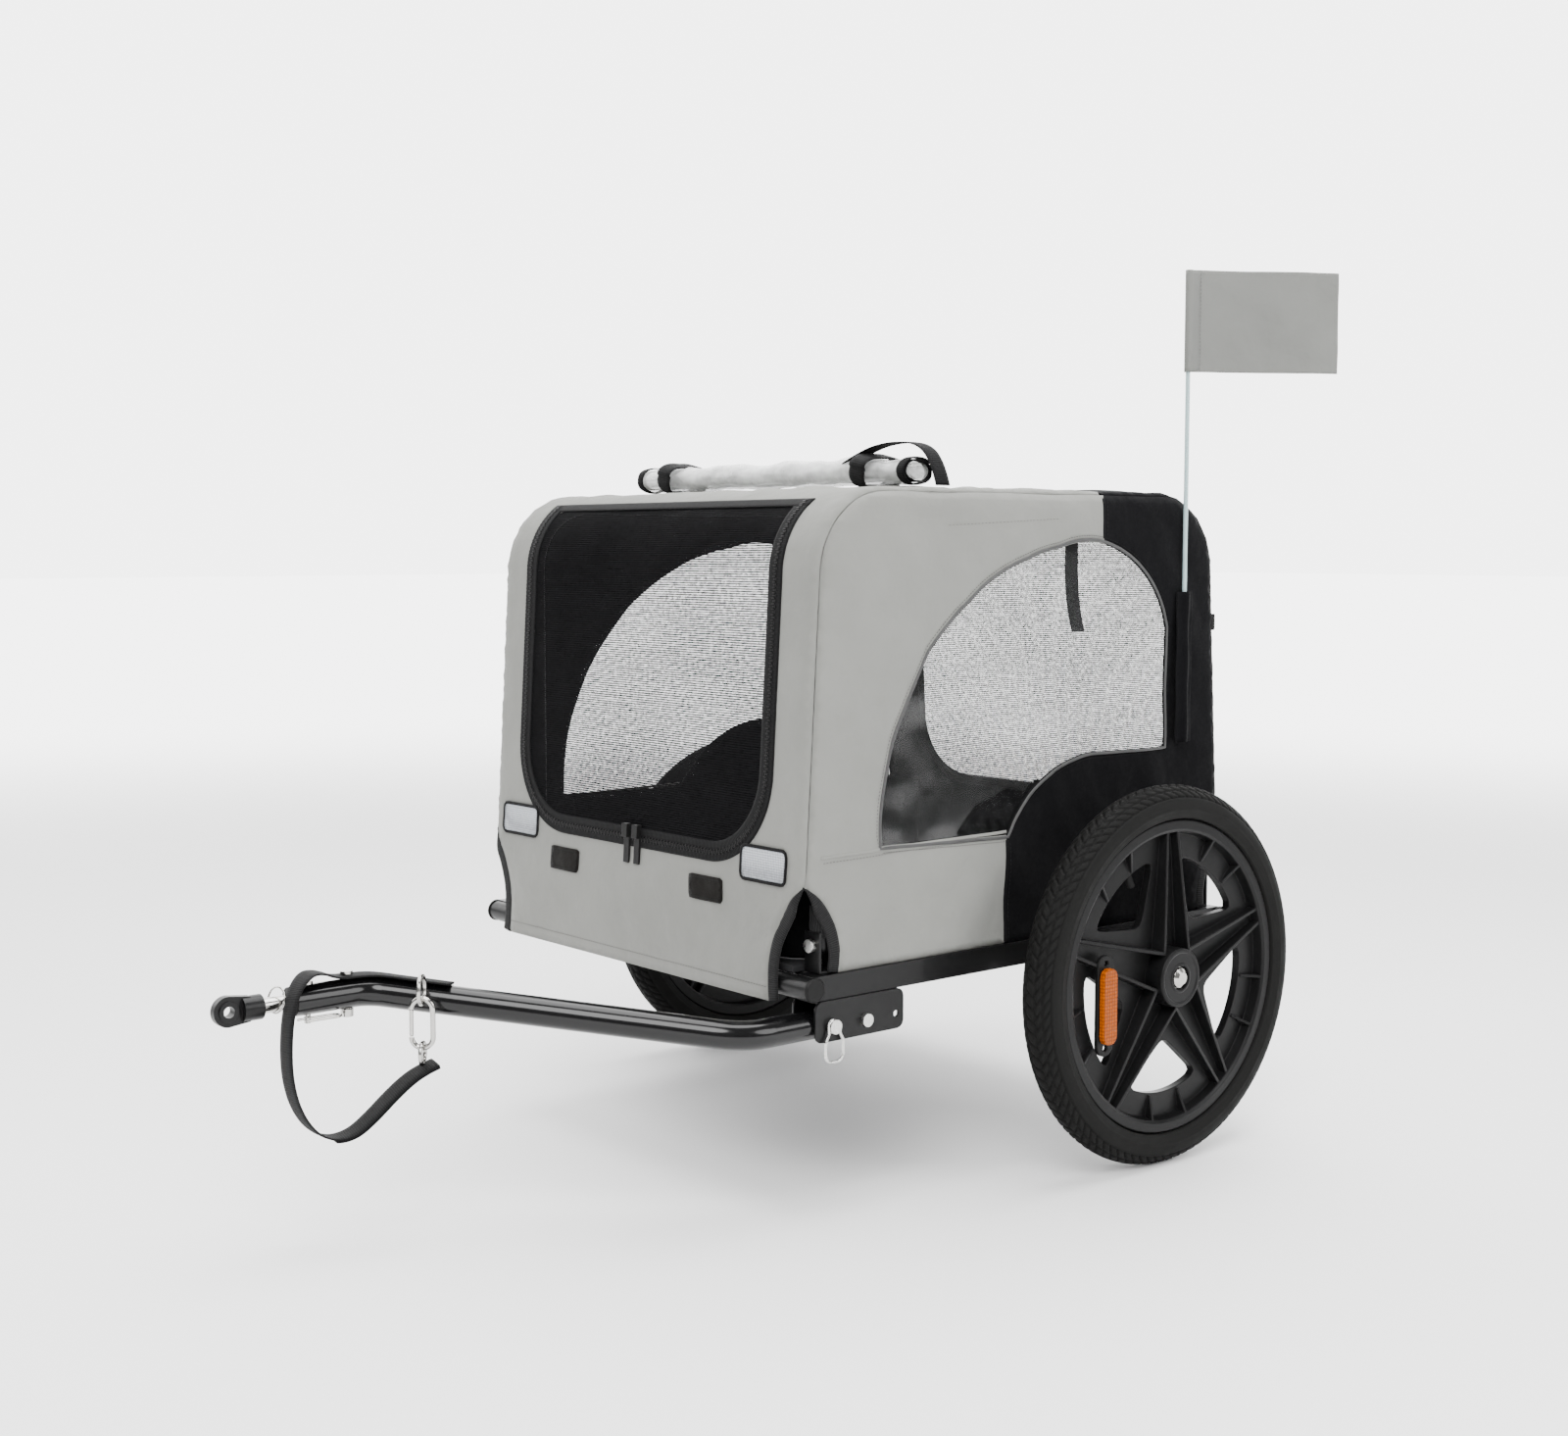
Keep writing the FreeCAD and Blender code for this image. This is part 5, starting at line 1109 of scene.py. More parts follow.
def make_side(name, sign):
    """A side panel in two cloths, its clear window, bindings, seams and stitching."""
    hole_gap, overlap, sewn_offset = 0.001, 0.007, 0.0055
    seam_clear, seam_offset, seam_start, seam_tilt = 0.004, 0.005, 0.003, 0.002
    arch_level, sag = 0.35, 0.004
    pane_depths, pane_scales = (0.0032, 0.0004, 0.0009), (0.2, 0.06, 0.09)
    seed = SIDE_SEEDS[name]
    mapping = side_surface(sign)
    skin = mapping, side_wrinkle(seed)
    tops = np.abs(WINDOW[:, 0] - BLACK_START) + (WINDOW[:, 1] < MID_LEVEL)
    lows = np.hypot(WINDOW[:, 0] - BLACK_LOW_START, WINDOW[:, 1] - arch_level)
    splits = [np.array([(BLACK_START, WINDOW[np.argmin(tops), 1] + seam_clear),
                        (BLACK_START, CABIN_TOP - 2 * seam_clear)]),
              np.array([(BLACK_LOW_START, SIDE_BASE + seam_clear / 2),
                        (BLACK_LOW_START, WINDOW[np.argmin(lows), 1] - seam_clear)])]
    panel = cloth_piece(f"cover_side_{name}_fabric", [SIDE_LOOP, grown(WINDOW, -hole_gap)], skin,
                        [grey_cloth, black_cloth, lining], splits=splits, choose=black_side)
    on(panel, "chassis", True, [f"cover_side_{name}"])

    def slack(y, z):
        broad, fine, long = (waviness(y * stretch, z, seed + 20 + i, scale)
                             for i, (stretch, scale) in enumerate(zip((1, 1, 0.4), pane_scales)))
        return -sag + pane_depths[0] * broad + pane_depths[1] * fine + pane_depths[2] * long

    pane = cloth_piece(f"window_{name}_vinyl", [grown(WINDOW, overlap)], (mapping, slack), [clear],
                       PANE_SPACING, thickness=VINYL)
    on(pane, "chassis", True, [f"window_{name}"])
    rim = resample(grown(WINDOW, hole_gap), LINE_STEP, True)
    lay_tape(f"window_{name}_welt", skin, rim, WINDOW_WELT, welt, lift=0.0003,
             closed=True)
    sewn = resample(grown(WINDOW, sewn_offset), LINE_STEP, True)
    sew(f"window_{name}_stitching", skin, np.vstack([sewn, sewn[:1]]), thread_black, lift=0.0001,
        sizes=WINDOW_THREAD)
    for end, cut, corner in (("front", SIDE_FRONT_CUT, 0), ("rear", SIDE_REAR_CUT, CABIN_LENGTH)):
        bind_cutout(f"cover_side_{name}_{end}_binding", skin, cut, (corner, SIDE_BASE))
    low_line = [(seam_start, SEAM_LEVEL - seam_tilt), (BLACK_LOW_START, SEAM_LEVEL + seam_tilt)]
    for label, line, cloth, thread, shift in (
            ("low_seam", low_line, grey_cloth, thread_grey, [0, -seam_offset]),
            ("rear_seam", splits[0], black_cloth, thread_black, [seam_offset, 0]),
            ("arch_seam", splits[1], black_cloth, thread_black, [seam_offset, 0])):
        line = resample(line, LINE_STEP)
        lay_tape(f"cover_side_{name}_{label}", skin, line, SEAM_TAPE, cloth, lift=0.0)
        sew(f"cover_side_{name}_{label}_stitching", skin, line + shift, thread, lift=0.0002)


def make_side_trim(name, sign):
    """A short sewn line below the roof of a side and a small loop on its rear edge."""
    x, setback, half_width, reach, level, count = 0.268, 0.004, 0.004, 0.011, 0.563, 16
    skin = side_surface(sign), side_wrinkle(SIDE_SEEDS[name])
    sew(f"side_line_{name}", skin, resample(SEWN_LINE, LINE_STEP), thread_grey, lift=0.0001,
        sizes=LINE_THREAD)
    turns = np.linspace(-0.5, 0.5, count) * math.pi
    upright = np.tile([0.0, 0, 1], (count, 1))
    loop = np.column_stack([sign * (x + half_width * np.sin(turns)),
                            FRONT_Y + CABIN_LENGTH - setback + reach * np.cos(turns), np.full(count, level)])
    normals = np.column_stack([sign * np.sin(turns), np.cos(turns), np.zeros(count)])
    on(strip(f"edge_loop_{name}", loop, normals, *EDGE_LOOP, strap_web, sides=upright), "chassis",
       True)


def make_corner_linings():
    """Black inner walls that close the cabin behind each corner cut-out."""
    line = resample(LINING_LINE, LINE_STEP)
    upright = np.tile([0.0, 0, 1], (len(line), 1))
    for side, sign in SIDES:
        for end, setback in (("front", line[:, 1]), ("rear", CABIN_LENGTH - line[:, 1])):
            path = np.column_stack([sign * line[:, 0], setback + FRONT_Y, np.full(len(line), LINING_LEVEL)])
            normals = unit(np.cross(np.gradient(path, axis=0), upright))
            wall = strip(f"corner_lining_{side}_{end}", path, normals, *LINING_WALL, lining, sides=upright)
            on(wall, "chassis", LINING_KEEP)


def make_zip_tabs(end):
    """Zip pulls of the nodes' own shape, in black plastic, riding on their pull bodies."""
    for side, _ in SIDES:
        source = nodes[f"{end}_zip_pull_{side}"]
        data = source.data.copy()
        data.transform(source.matrix_world)
        data.materials.clear()
        data.materials.append(plastic)
        tab = bpy.data.objects.new(f"{end}_zip_tab_{side}", data)
        bpy.context.scene.collection.objects.link(tab)
        on(tab, f"{end}_pull_{side}", True, [f"{end}_zip_pull_{side}"])


def make_front_marks(skin):
    """Two bordered reflective patches and two hook-tape tabs on the front."""
    mapping, wrinkle = skin
    mark_lift, border_step, sewn_step = 0.0016, 0.004, 0.003

    def raised(u, s):
        return wrinkle(u, s) + mark_lift

    for side, sign in SIDES:
        for label, sizes, place, material, spacing, thickness, slot, node in (
                ("reflective_patch", PATCH, PATCH_PLACE, silver, 0.006, 0.001, "reflective",
                 "reflective_patches"),
                ("hook_tab", TAB, TAB_PLACE, hook_tape, 0.005, 0.0012, "black_fabric", "hook_tabs")):
            centre = np.array([sign * place[0], float(run_of_height(place[1]))])
            loop = rounded_rectangle(*sizes) + centre
            on(cloth_piece(f"{label}_{side}", [loop], (mapping, raised), [material], spacing,
                           thickness=thickness), "chassis", True, [node])
            if label == "reflective_patch":
                lay_tape(f"reflective_border_{side}", skin, resample(loop, border_step, True), PATCH_BORDER,
                         tape, lift=0.0014, closed=True)
            else:
                inner = rounded_rectangle(*TAB_SEWN) + centre
                sew(f"hook_tab_stitching_{side}", skin, resample(np.vstack([inner, inner[:1]]), sewn_step),
                    thread_black, lift=mark_lift, sizes=TAB_THREAD)


# Wheels

def wheel_matrix(sign):
    """Turns a wheel made about Z, outer face up, to its place."""
    low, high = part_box("tyre_left")
    placed = Matrix.Translation((low + high) / 2) @ Matrix.Rotation(math.pi / 2, 4, "Y")
    return Matrix.Diagonal((sign, 1, 1, 1)) @ placed


def make_tyre(name, sign):
    """A tyre with a block tread: zigzag grooves and slanted cuts, smooth sidewalls."""
    pitches, steps, columns = 96, 12, 84
    reach = math.acos((TYRE_BEAD - TYRE_RING) / TYRE_SECTION)
    turn, lean = np.meshgrid(np.arange(pitches * steps) / steps, np.linspace(-reach, reach, columns),
                             indexing="ij")
    width = np.abs(lean) / 1.1
    zig = 0.05 * np.abs((turn % 1.0) * 2 - 1)

    def groove(place, size):
        return np.clip(1 - np.abs(place) / size, 0, 1)

    def from_cut(place):
        return np.minimum(place % 1.0, 1 - place % 1.0)

    cuts = np.maximum.reduce([
        groove(width - 0.2 - zig, 0.055), groove(width - 0.62 + zig, 0.055), groove(width - 0.97, 0.04),
        np.where(width < 0.22, groove(from_cut(turn - lean * 1.4 + 0.5), 0.15), 0),
        np.where((width > 0.18) & (width < 1.0), groove(from_cut(turn + lean * 2.2), 0.15), 0)])
    cuts = np.where(width > 1.02, 0, np.clip(cuts * 1.8, 0, 1))
    lip = 0.0006 * np.exp(-((width - 1.55) / 0.06) ** 2) + 0.0005 * np.exp(-((width - 1.95) / 0.05) ** 2)
    radius = TYRE_SECTION - TREAD_DEPTH * cuts + lip
    away = TYRE_RING + radius * np.cos(lean)
    angle = turn * 2 * math.pi / pitches
    verts = np.stack([away * np.cos(angle), away * np.sin(angle), radius * np.sin(lean)], 2).reshape(-1, 3)
    obj = add_mesh(f"tyre_{name}_tread", verts, grid_faces(pitches * steps, columns, True, True), rubber)
    obj.data.transform(wheel_matrix(sign))
    fix_normals(obj)
    on(obj, f"{name}_wheel", False, [f"tyre_{name}"])


def toward(angle):
    return np.array([math.cos(angle), math.sin(angle)])


def soft_triangle(tip, left, far, right, radius):
    """A rounded window outline: two straight sides and an outer arc, with soft corners."""
    step = 0.002
    raw = np.vstack([np.linspace(tip, left, 30)[:-1], arc_points(left, far, right, 40)[:-1],
                     np.linspace(right, tip, 30)[:-1]])
    loop = resample(raw, step, True)
    for _ in range(int((radius / step) ** 2 * 0.55)):
        loop = loop * 0.5 + (np.roll(loop, 1, 0) + np.roll(loop, -1, 0)) * 0.25
    return loop


def make_rim(name, sign):
    """A moulded rim: flanged ring, thin plate with rounded windows, double-rib spokes and gussets."""
    step, edge = 2 * math.pi / SPOKES, 0.0009
    sunk = RIM_PLATE - RIB_SINK
    batch = Batch()
    batch.add(*lathe(RIM_SECTION, 180))
    loops = [around((0, 0), RIM_INNER + WINDOW_WALL, 160)]
    swing = step / 2 - math.asin((SPOKE_HALF + WINDOW_WALL) / WINDOW_REACH)
    for index in range(SPOKES):
        middle = math.pi + step * (index + 0.5)
        corners = [toward(middle + turn) * WINDOW_REACH for turn in (-swing, 0, swing)]
        loops.append(soft_triangle(toward(middle) * WINDOW_TIP, *corners, WINDOW_SOFTNESS))
    batch.add(*plate(loops, RIM_SPACING, RIM_PLATE))
    for index in range(SPOKES):
        angle = math.pi + step * index
        ahead = toward(angle)
        aside = np.array([-ahead[1], ahead[0]])
        for side in (-1, 1):
            near = ahead * RIB_START + aside * side * SPOKE_OFFSETS[0]
            far = ahead * RIB_END + aside * side * SPOKE_OFFSETS[1]
            batch.add(*tapered_wall(near, far, SPOKE_WALL, sunk, *SPOKE_TOPS))
            batch.add(*tapered_wall(near, far, SPOKE_WALL, -sunk, *SPOKE_BACKS))
        for share in GUSSET_SHARES:
            out = toward(angle + step * share)
            batch.add(*tapered_wall(out * (WINDOW_REACH + WINDOW_WALL), out * RIB_END, GUSSET_WALL, sunk,
                                    *GUSSET_TOPS))
    batch.add(*lathe(HUB_SECTION, 96))
    obj = batch.build(f"rim_{name}_moulded", nylon)
    obj.data.transform(wheel_matrix(sign))
    fix_normals(obj)
    rounded(obj, edge)
    on(obj, f"{name}_wheel", False, [f"rim_{name}"])


def make_reflector(name):
    """The amber lens and the black carrier with two eyes that holds it on a spoke."""
    lens_corner, eye_radius, eye_inset, edge = 0.0085, 0.0035, 0.0085, 0.0012
    for label, node, material, slot in (("carrier", "reflector_carrier", plastic, "black_plastic"),
                                        ("amber", "reflector_lens", amber, "amber_lens")):
        low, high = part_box(f"{node}_{name}")
        depth, width, length = high - low
        corner = width * 0.46 if label == "carrier" else lens_corner
        loops = [rounded_rectangle(length, width, corner, 8)]
        if label == "carrier":
            loops += [around((end * (length / 2 - eye_inset), 0), eye_radius, 20) for end in (-1, 1)]
        verts, faces = plate(loops, PLATE_SPACING, depth / 2)
        obj = add_mesh(f"reflector_{name}_{label}", verts, faces, material, None, False)
        fix_normals(obj)
        obj.data.transform(Matrix.Translation((low + high) / 2) @ Matrix.Rotation(math.pi / 2, 4, "Y"))
        rounded(obj, edge, 3)
        on(obj, f"{name}_wheel", False, [f"{node}_{name}"])


# Straps, roll, flag and mat

def make_safety_strap():
    """Webbing from the arm's ring over the hitch and down in a hanging loop."""
    width, thickness = SAFETY_STRAP
    route = [(x / 1000, FRONT_Y - reach / 1000, z / 1000) for x, reach, z in STRAP_ROUTE]
    line = route_points(route)
    ahead = unit(np.gradient(line, axis=0))
    level = np.array([1.0, 0, 0])
    side = unit(level - ahead * (ahead @ level)[:, None])
    normals = unit(np.cross(ahead, side))
    obj = strip("safety_strap_webbing", line, normals, width, thickness, strap_web, sides=side)
    on(obj, "tow_arm", False, ["safety_strap"])
    start = int(len(line) * 0.7)
    layer = line[start:] - normals[start:] * np.sign(normals[start:, 2:]) * thickness
    doubled = strip("safety_strap_fold", layer, normals[start:], width * 0.98, thickness, strap_web,
                    sides=side[start:])
    on(doubled, "tow_arm")
    for piece in (obj, doubled):
        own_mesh(piece)


def make_rain_roll():
    """Clear film rolled up unevenly on the roof, with a dark bound edge, two straps and a loose tail."""
    low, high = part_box("rain_cover_roll")
    centre = (low + high) / 2
    length, radius = high.x - low.x, (high.z - low.z) / 2
    steps, columns = 150, 90
    broad_crumple, fine_crumple, end_sway = 0.0014, 0.001, 0.004
    strap_wander, strap_slack, strap_rest = 0.004, 0.003, 0.0014
    angle = np.linspace(0, ROLL_TURNS * 2 * math.pi, steps)
    rings = ROLL_CORE + (radius - ROLL_CORE - ROLL_MARGIN) * angle / angle[-1]
    run = np.concatenate([[0], np.cumsum(np.hypot(np.diff(rings), rings[1:] * np.diff(angle)))])
    x, along = np.meshgrid(np.linspace(-length / 2, length / 2, columns), run, indexing="ij")
    ring, turn = np.interp(along, run, rings), np.interp(along, run, angle)
    crumple = broad_crumple * waviness(x, along * 0.5, 41, 0.06)
    crumple += fine_crumple * waviness(x, along, 42, 0.03)
    crumple *= 0.4 + 0.6 * ramp_up(length / 2 - np.abs(x), 0, 0.02)
    ring = np.minimum(ring + crumple, radius)
    sway = end_sway * waviness(along, along, 44, 0.5) * np.sign(x) * (np.abs(x) / (length / 2)) ** 6
    slump = ROLL_SLUMP_SHARE + 0.05 * waviness(x, x, 45, 0.2)
    base = CABIN_TOP + ROLL_LIFT
    points = np.stack([x * ROLL_LENGTH_SHARE + sway, centre.y - ring * np.cos(turn) * ROLL_SPREAD_SHARE,
                       base + (radius + ring * np.sin(turn)) * slump], 2)
    flat = np.column_stack([x.ravel(), along.ravel()])
    obj = add_mesh("rain_cover_film", points.reshape(-1, 3), grid_faces(columns, steps), roll_clear, flat)
    on(obj, "chassis", True, ["rain_cover_roll"])
    middle = CABIN_TOP + radius * ROLL_SLUMP_SHARE
    for side, column in (("left", columns - 2), ("right", 1)):
        path = points[column][steps // 2:]
        out = unit(path - [path[0, 0], centre.y, middle])
        out[:, 0] = 0
        on(strip(f"rain_cover_edge_{side}", path, out, *ROLL_EDGE, tape), "chassis", True)
    lowest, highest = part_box("roll_straps")
    turns = np.linspace(-0.62, 1.62, 60) * math.pi
    loose = np.where(np.sin(turns) > 0.2, strap_slack * np.sin(turns * 3), 0)
    slack = (highest.z - lowest.z) / 2 - ROLL_MARGIN + loose
    for side, sign in SIDES:
        path = np.column_stack([
            sign * ROLL_STRAP_X + strap_wander * np.sin(turns),
            centre.y + slack * np.cos(turns) * ROLL_SPREAD_SHARE,
            np.maximum(CABIN_TOP + strap_rest, base + (radius + slack * np.sin(turns)) * ROLL_SLUMP_SHARE)])
        out = unit(path - [sign * ROLL_STRAP_X, centre.y, middle])
        on(strip(f"roll_strap_{side}", path, out, *ROLL_STRAP, strap_web), "chassis", True,
           ["roll_straps"])
    arch = route_points([(x, centre.y + setback, CABIN_TOP + rise) for x, setback, rise in TAIL_ROUTE])
    level = np.tile([0.0, 1.0, 0], (len(arch), 1))
    out = np.cross(level, unit(np.gradient(arch, axis=0)))
    on(strip("roll_strap_tail", arch, out, *ROLL_TAIL, strap_web, sides=level), "chassis", True)


def make_flag():
    """A lightly waving flag with a stitched pole hem."""
    pole_low, pole_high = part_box("flag_pole")
    pole = np.array([(pole_low.x + pole_high.x) / 2, (pole_low.y + pole_high.y) / 2])
    low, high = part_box("flag_cloth")
    height = high.z - low.z
    ahead = toward(FLAG_TURN)
    aside = np.array([-ahead[1], ahead[0]])
    columns, rows = 64, 40
    wave_depth, crease_depth = 0.0035, 0.001
    reach, level = np.meshgrid(np.linspace(FLAG_GAPS[0], FLAG_LENGTH - FLAG_GAPS[1], columns),
                               np.linspace(0, height, rows), indexing="ij")
    wave = wave_depth * np.sin(reach / FLAG_LENGTH * 5.2 + level * 9) * ramp_up(reach, 0.02, 0.05)
    wave += crease_depth * waviness(reach, level, 61, 0.06) * ramp_up(reach, 0.015, 0.03)
    points = np.stack([pole[0] + ahead[0] * reach + aside[0] * wave,
                       pole[1] + ahead[1] * reach + aside[1] * wave, low.z + level], 2).reshape(-1, 3)
    flat = np.column_stack([reach.ravel(), level.ravel()])
    obj = add_mesh("flag_sheet", points, grid_faces(columns, rows), flag_cloth, flat)
    thicken(obj, FLAG_THICKNESS, 0)
    on(obj, "flag", False, ["flag_cloth"])
    turns = np.linspace(0.25, 2 * math.pi - 0.25, 28) + FLAG_TURN
    ring = pole + FLAG_HEM_RADIUS * np.column_stack([np.cos(turns), np.sin(turns)])
    ends = [pole + ahead * FLAG_HEM_WIDTH + sign * aside * FLAG_HEM_GAP for sign in (1, -1)]
    line = np.vstack([ends[0], ring, ends[1]])
    hem = upright_cloth("flag_hem", line, np.linspace(0, height, 24), low.z, flag_cloth)
    thicken(hem, FLAG_HEM_THICKNESS)
    on(hem, "flag")
    for side, sign in (("near", -1), ("far", 1)):
        foot = pole + ahead * FLAG_STITCHED[0] + sign * aside * FLAG_STITCHED[1]
        path = np.array([(*foot, z) for z in np.linspace(low.z, high.z, 20)])
        normals = np.tile([*(aside * sign), 0], (20, 1))
        on(stitches(f"flag_stitching_{side}", path, normals, thread_grey, *FLAG_THREAD), "flag")


def upright_cloth(name, line, levels, base, material, wrap=False, ripple=0.0):
    """A cloth that stands straight up from a plan line, its levels counted from a base."""
    verts = [(x + ripple * math.sin((base + z) * 90 + y * 140), y, base + z)
             for x, y in line for z in levels]
    flat = [(run, z) for run in run_along(line) for z in levels]
    return add_mesh(name, verts, grid_faces(len(line), len(levels), wrap), material, flat)


def make_sleeve():
    """The flag's fabric pocket: a flattened sleeve."""
    gap, swell, ripple = 0.0006, 0.0052, 0.0005
    low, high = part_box("flag_sleeve")
    pole_low, pole_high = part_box("flag_pole")
    x, y = (pole_low.x + pole_high.x) / 2, (low.y + high.y) / 2
    half = (high.y - low.y) / 2
    shares = np.linspace(-1, 1, 25)
    bulge = gap + swell * np.exp(-(shares / 0.42) ** 2)
    outer = np.column_stack([x + bulge, y + shares * half])
    inner = np.column_stack([np.maximum(low.x, x - bulge), y + shares * half])[::-1]
    line = np.vstack([outer, inner])
    levels = np.linspace(low.z, high.z, 40)
    obj = upright_cloth("flag_sleeve_fabric", line, levels, 0, black_cloth, True, ripple)
    fix_normals(obj)
    thicken(obj, SLEEVE_THICKNESS)
    on(obj, "flag_holder", False, ["flag_sleeve"])


def make_mat():
    """A quilted mat with sewn channels, crowned between them."""
    channel, hem, drawn_share, rim_height, floor_gap = 0.085, 0.012, 0.012, 0.0006, 0.0002
    low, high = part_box("floor_mat")
    centre = (low + high) / 2
    half_x, half_y = (high.x - low.x) / 2, (high.y - low.y) / 2
    columns, rows = 110, 120
    x, y = np.meshgrid(np.linspace(-1, 1, columns), np.linspace(-1, 1, rows), indexing="ij")
    wide, deep = x * half_x, y * half_y
    edge = np.minimum((1 - np.abs(x)) * half_x, (1 - np.abs(y)) * half_y)
    quilting = np.abs(np.sin((wide + deep) * math.pi / channel)) ** 0.45
    quilting *= np.abs(np.sin((wide - deep) * math.pi / channel)) ** 0.45
    crown = (high.z - low.z) * (0.45 + 0.5 * quilting) * ramp_up(edge, 0, hem) ** 0.5 + rim_height
    draw, pull = 1 - drawn_share * (1 - y ** 2), 1 - drawn_share * (1 - x ** 2)
    top = np.stack([centre.x + wide * draw, centre.y + deep * pull, low.z + crown], 2)
    base = top.copy()
    base[:, :, 2] = low.z + floor_gap
    count = columns * rows
    verts = np.vstack([top.reshape(-1, 3), base.reshape(-1, 3)])
    cells = grid_faces(columns, rows)
    faces = cells + [tuple(k + count for k in reversed(c)) for c in cells]
    rim = ([i * rows for i in range(columns)] + [(columns - 1) * rows + j for j in range(1, rows)]
           + [i * rows + rows - 1 for i in range(columns - 2, -1, -1)] + list(range(rows - 2, 0, -1)))
    faces += [(a, a + count, b + count, b) for a, b in zip(rim, rim[1:] + rim[:1])]
    flat = np.tile(np.column_stack([wide.ravel(), deep.ravel()]), (2, 1))
    obj = add_mesh("floor_mat_quilt", verts, faces, quilt, flat)
    fix_normals(obj)
    on(obj, "chassis", False, ["floor_mat"])


def make_leash():
    """A short webbing leash sewn inside the left wall."""
    bow, drift, count = 0.006, 0.012, 30
    low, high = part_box("cabin_leash")
    width = high.y - low.y
    share = np.linspace(0, 1, count)
    path = np.column_stack([(low.x + high.x) / 2 - bow * np.sin(share * math.pi) * share,
                            (low.y + high.y) / 2 + drift * share ** 1.5, high.z - share * (high.z - low.z)])
    normals, level = (np.tile(way, (count, 1)) for way in ([1.0, 0, 0], [0.0, 1.0, 0]))
    obj = strip("cabin_leash_webbing", path, normals, width, LEASH_THICKNESS, strap_web, sides=level)
    on(obj, "chassis", True, ["cabin_leash"])


# Frame pieces

def make_hoop(name):
    """A folding hoop's bent tube, with domed feet that turn inside their brackets."""
    sides, domes, spacing = 28, 7, 0.008
    low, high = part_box(f"hoop_{name}")
    x, radius = (low.x + high.x) / 2, (high.x - low.x) / 2
    front, rear, top = low.y + radius, high.y - radius, high.z - radius
    bend, k = HOOP_BEND, HOOP_BEND * (1 - math.sqrt(0.5))
    first = arc_points((front, top - bend), (front + k, top - k), (front + bend, top), 14)
    second = arc_points((rear - bend, top), (rear - k, top - k), (rear, top - bend), 14)
    line = resample(np.vstack([(front, HINGE_LEVEL), first, second, (rear, HINGE_LEVEL)]), spacing)
    ahead = unit(np.gradient(line, axis=0))
    dome = np.linspace(math.pi / 2 - 0.05, 0.2, domes)
    rise, girth = (radius * np.sin(dome))[:, None], radius * np.cos(dome)
    centres = np.vstack([line[0] - ahead[0] * rise, line, line[-1] + ahead[-1] * rise[::-1]])
    ahead = np.vstack([np.tile(ahead[0], (domes, 1)), ahead, np.tile(ahead[-1], (domes, 1))])
    girths = np.concatenate([girth, np.full(len(line), radius), girth[::-1]])
    verts = [(x + size * c, middle[0] - way[1] * size * s, middle[1] + way[0] * size * s)
             for middle, way, size in zip(centres, ahead, girths) for c, s in around((0, 0), 1, sides)]
    faces = grid_faces(len(centres), sides, False, True)
    faces += [tuple(range(sides)), tuple(range(len(verts) - sides, len(verts)))]
    tube = add_mesh(f"hoop_tube_{name}", verts, faces, paint_satin)
    fix_normals(tube)
    on(tube, f"{name}_hoop", False, [f"hoop_{name}"])


def make_post_bands(name):
    """Webbing loops that hold the cover to a hoop's posts."""
    low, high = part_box(f"hoop_{name}")
    gap, ripple, count = 0.0013, 0.0012, 40
    radius = POST_RADIUS + gap
    turns = np.linspace(0, 2 * math.pi, count, endpoint=False)
    out = np.column_stack([np.cos(turns), np.sin(turns), np.zeros(count)])
    for end, y in (("front", low.y + POST_RADIUS), ("rear", high.y - POST_RADIUS)):
        path = radius * out + [(low.x + high.x) / 2, y, BAND_LEVEL]
        path[:, 2] += ripple * np.sin(turns * 2)
        band = strip(f"post_band_{name}_{end}", path, out, *POST_BAND, edge_web, True)
        on(band, f"{name}_hoop")


def make_arm_rings():
    """A thin keeper ring on the hitch's neck and the weld line where the arm's tube is mitred."""
    neck_ahead, neck_rise = 0.012, 0.0035
    low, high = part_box("arm_end_bush")
    neck = Vector(((low.x + high.x) / 2, low.y - neck_ahead, (low.z + high.z) / 2 + neck_rise))
    leaning = Matrix.Rotation(math.radians(78), 4, "X") @ Matrix.Rotation(math.radians(12), 4, "Y")
    along = ((ARM_KINK - ARM_REAR).normalized() + Vector((0, -1, 0))).normalized()
    mitre = along.to_track_quat("Z", "Y").to_matrix().to_4x4()
    for name, radius, section, count, material, place, turn, slot in (
            ("neck_ring", 0.0118, 0.0009, 48, nickel, neck, leaning, "chrome"),
            ("arm_weld_line", 0.0140, 0.0007, 64, paint_gloss, ARM_KINK, mitre, "arm_paint")):
        batch = Batch()
        batch.add(*lathe(around((radius, 0), section, 8), count))
        ring = batch.build(name, material, True)
        ring.data.transform(Matrix.Translation(place) @ turn)
        on(ring, "tow_arm")


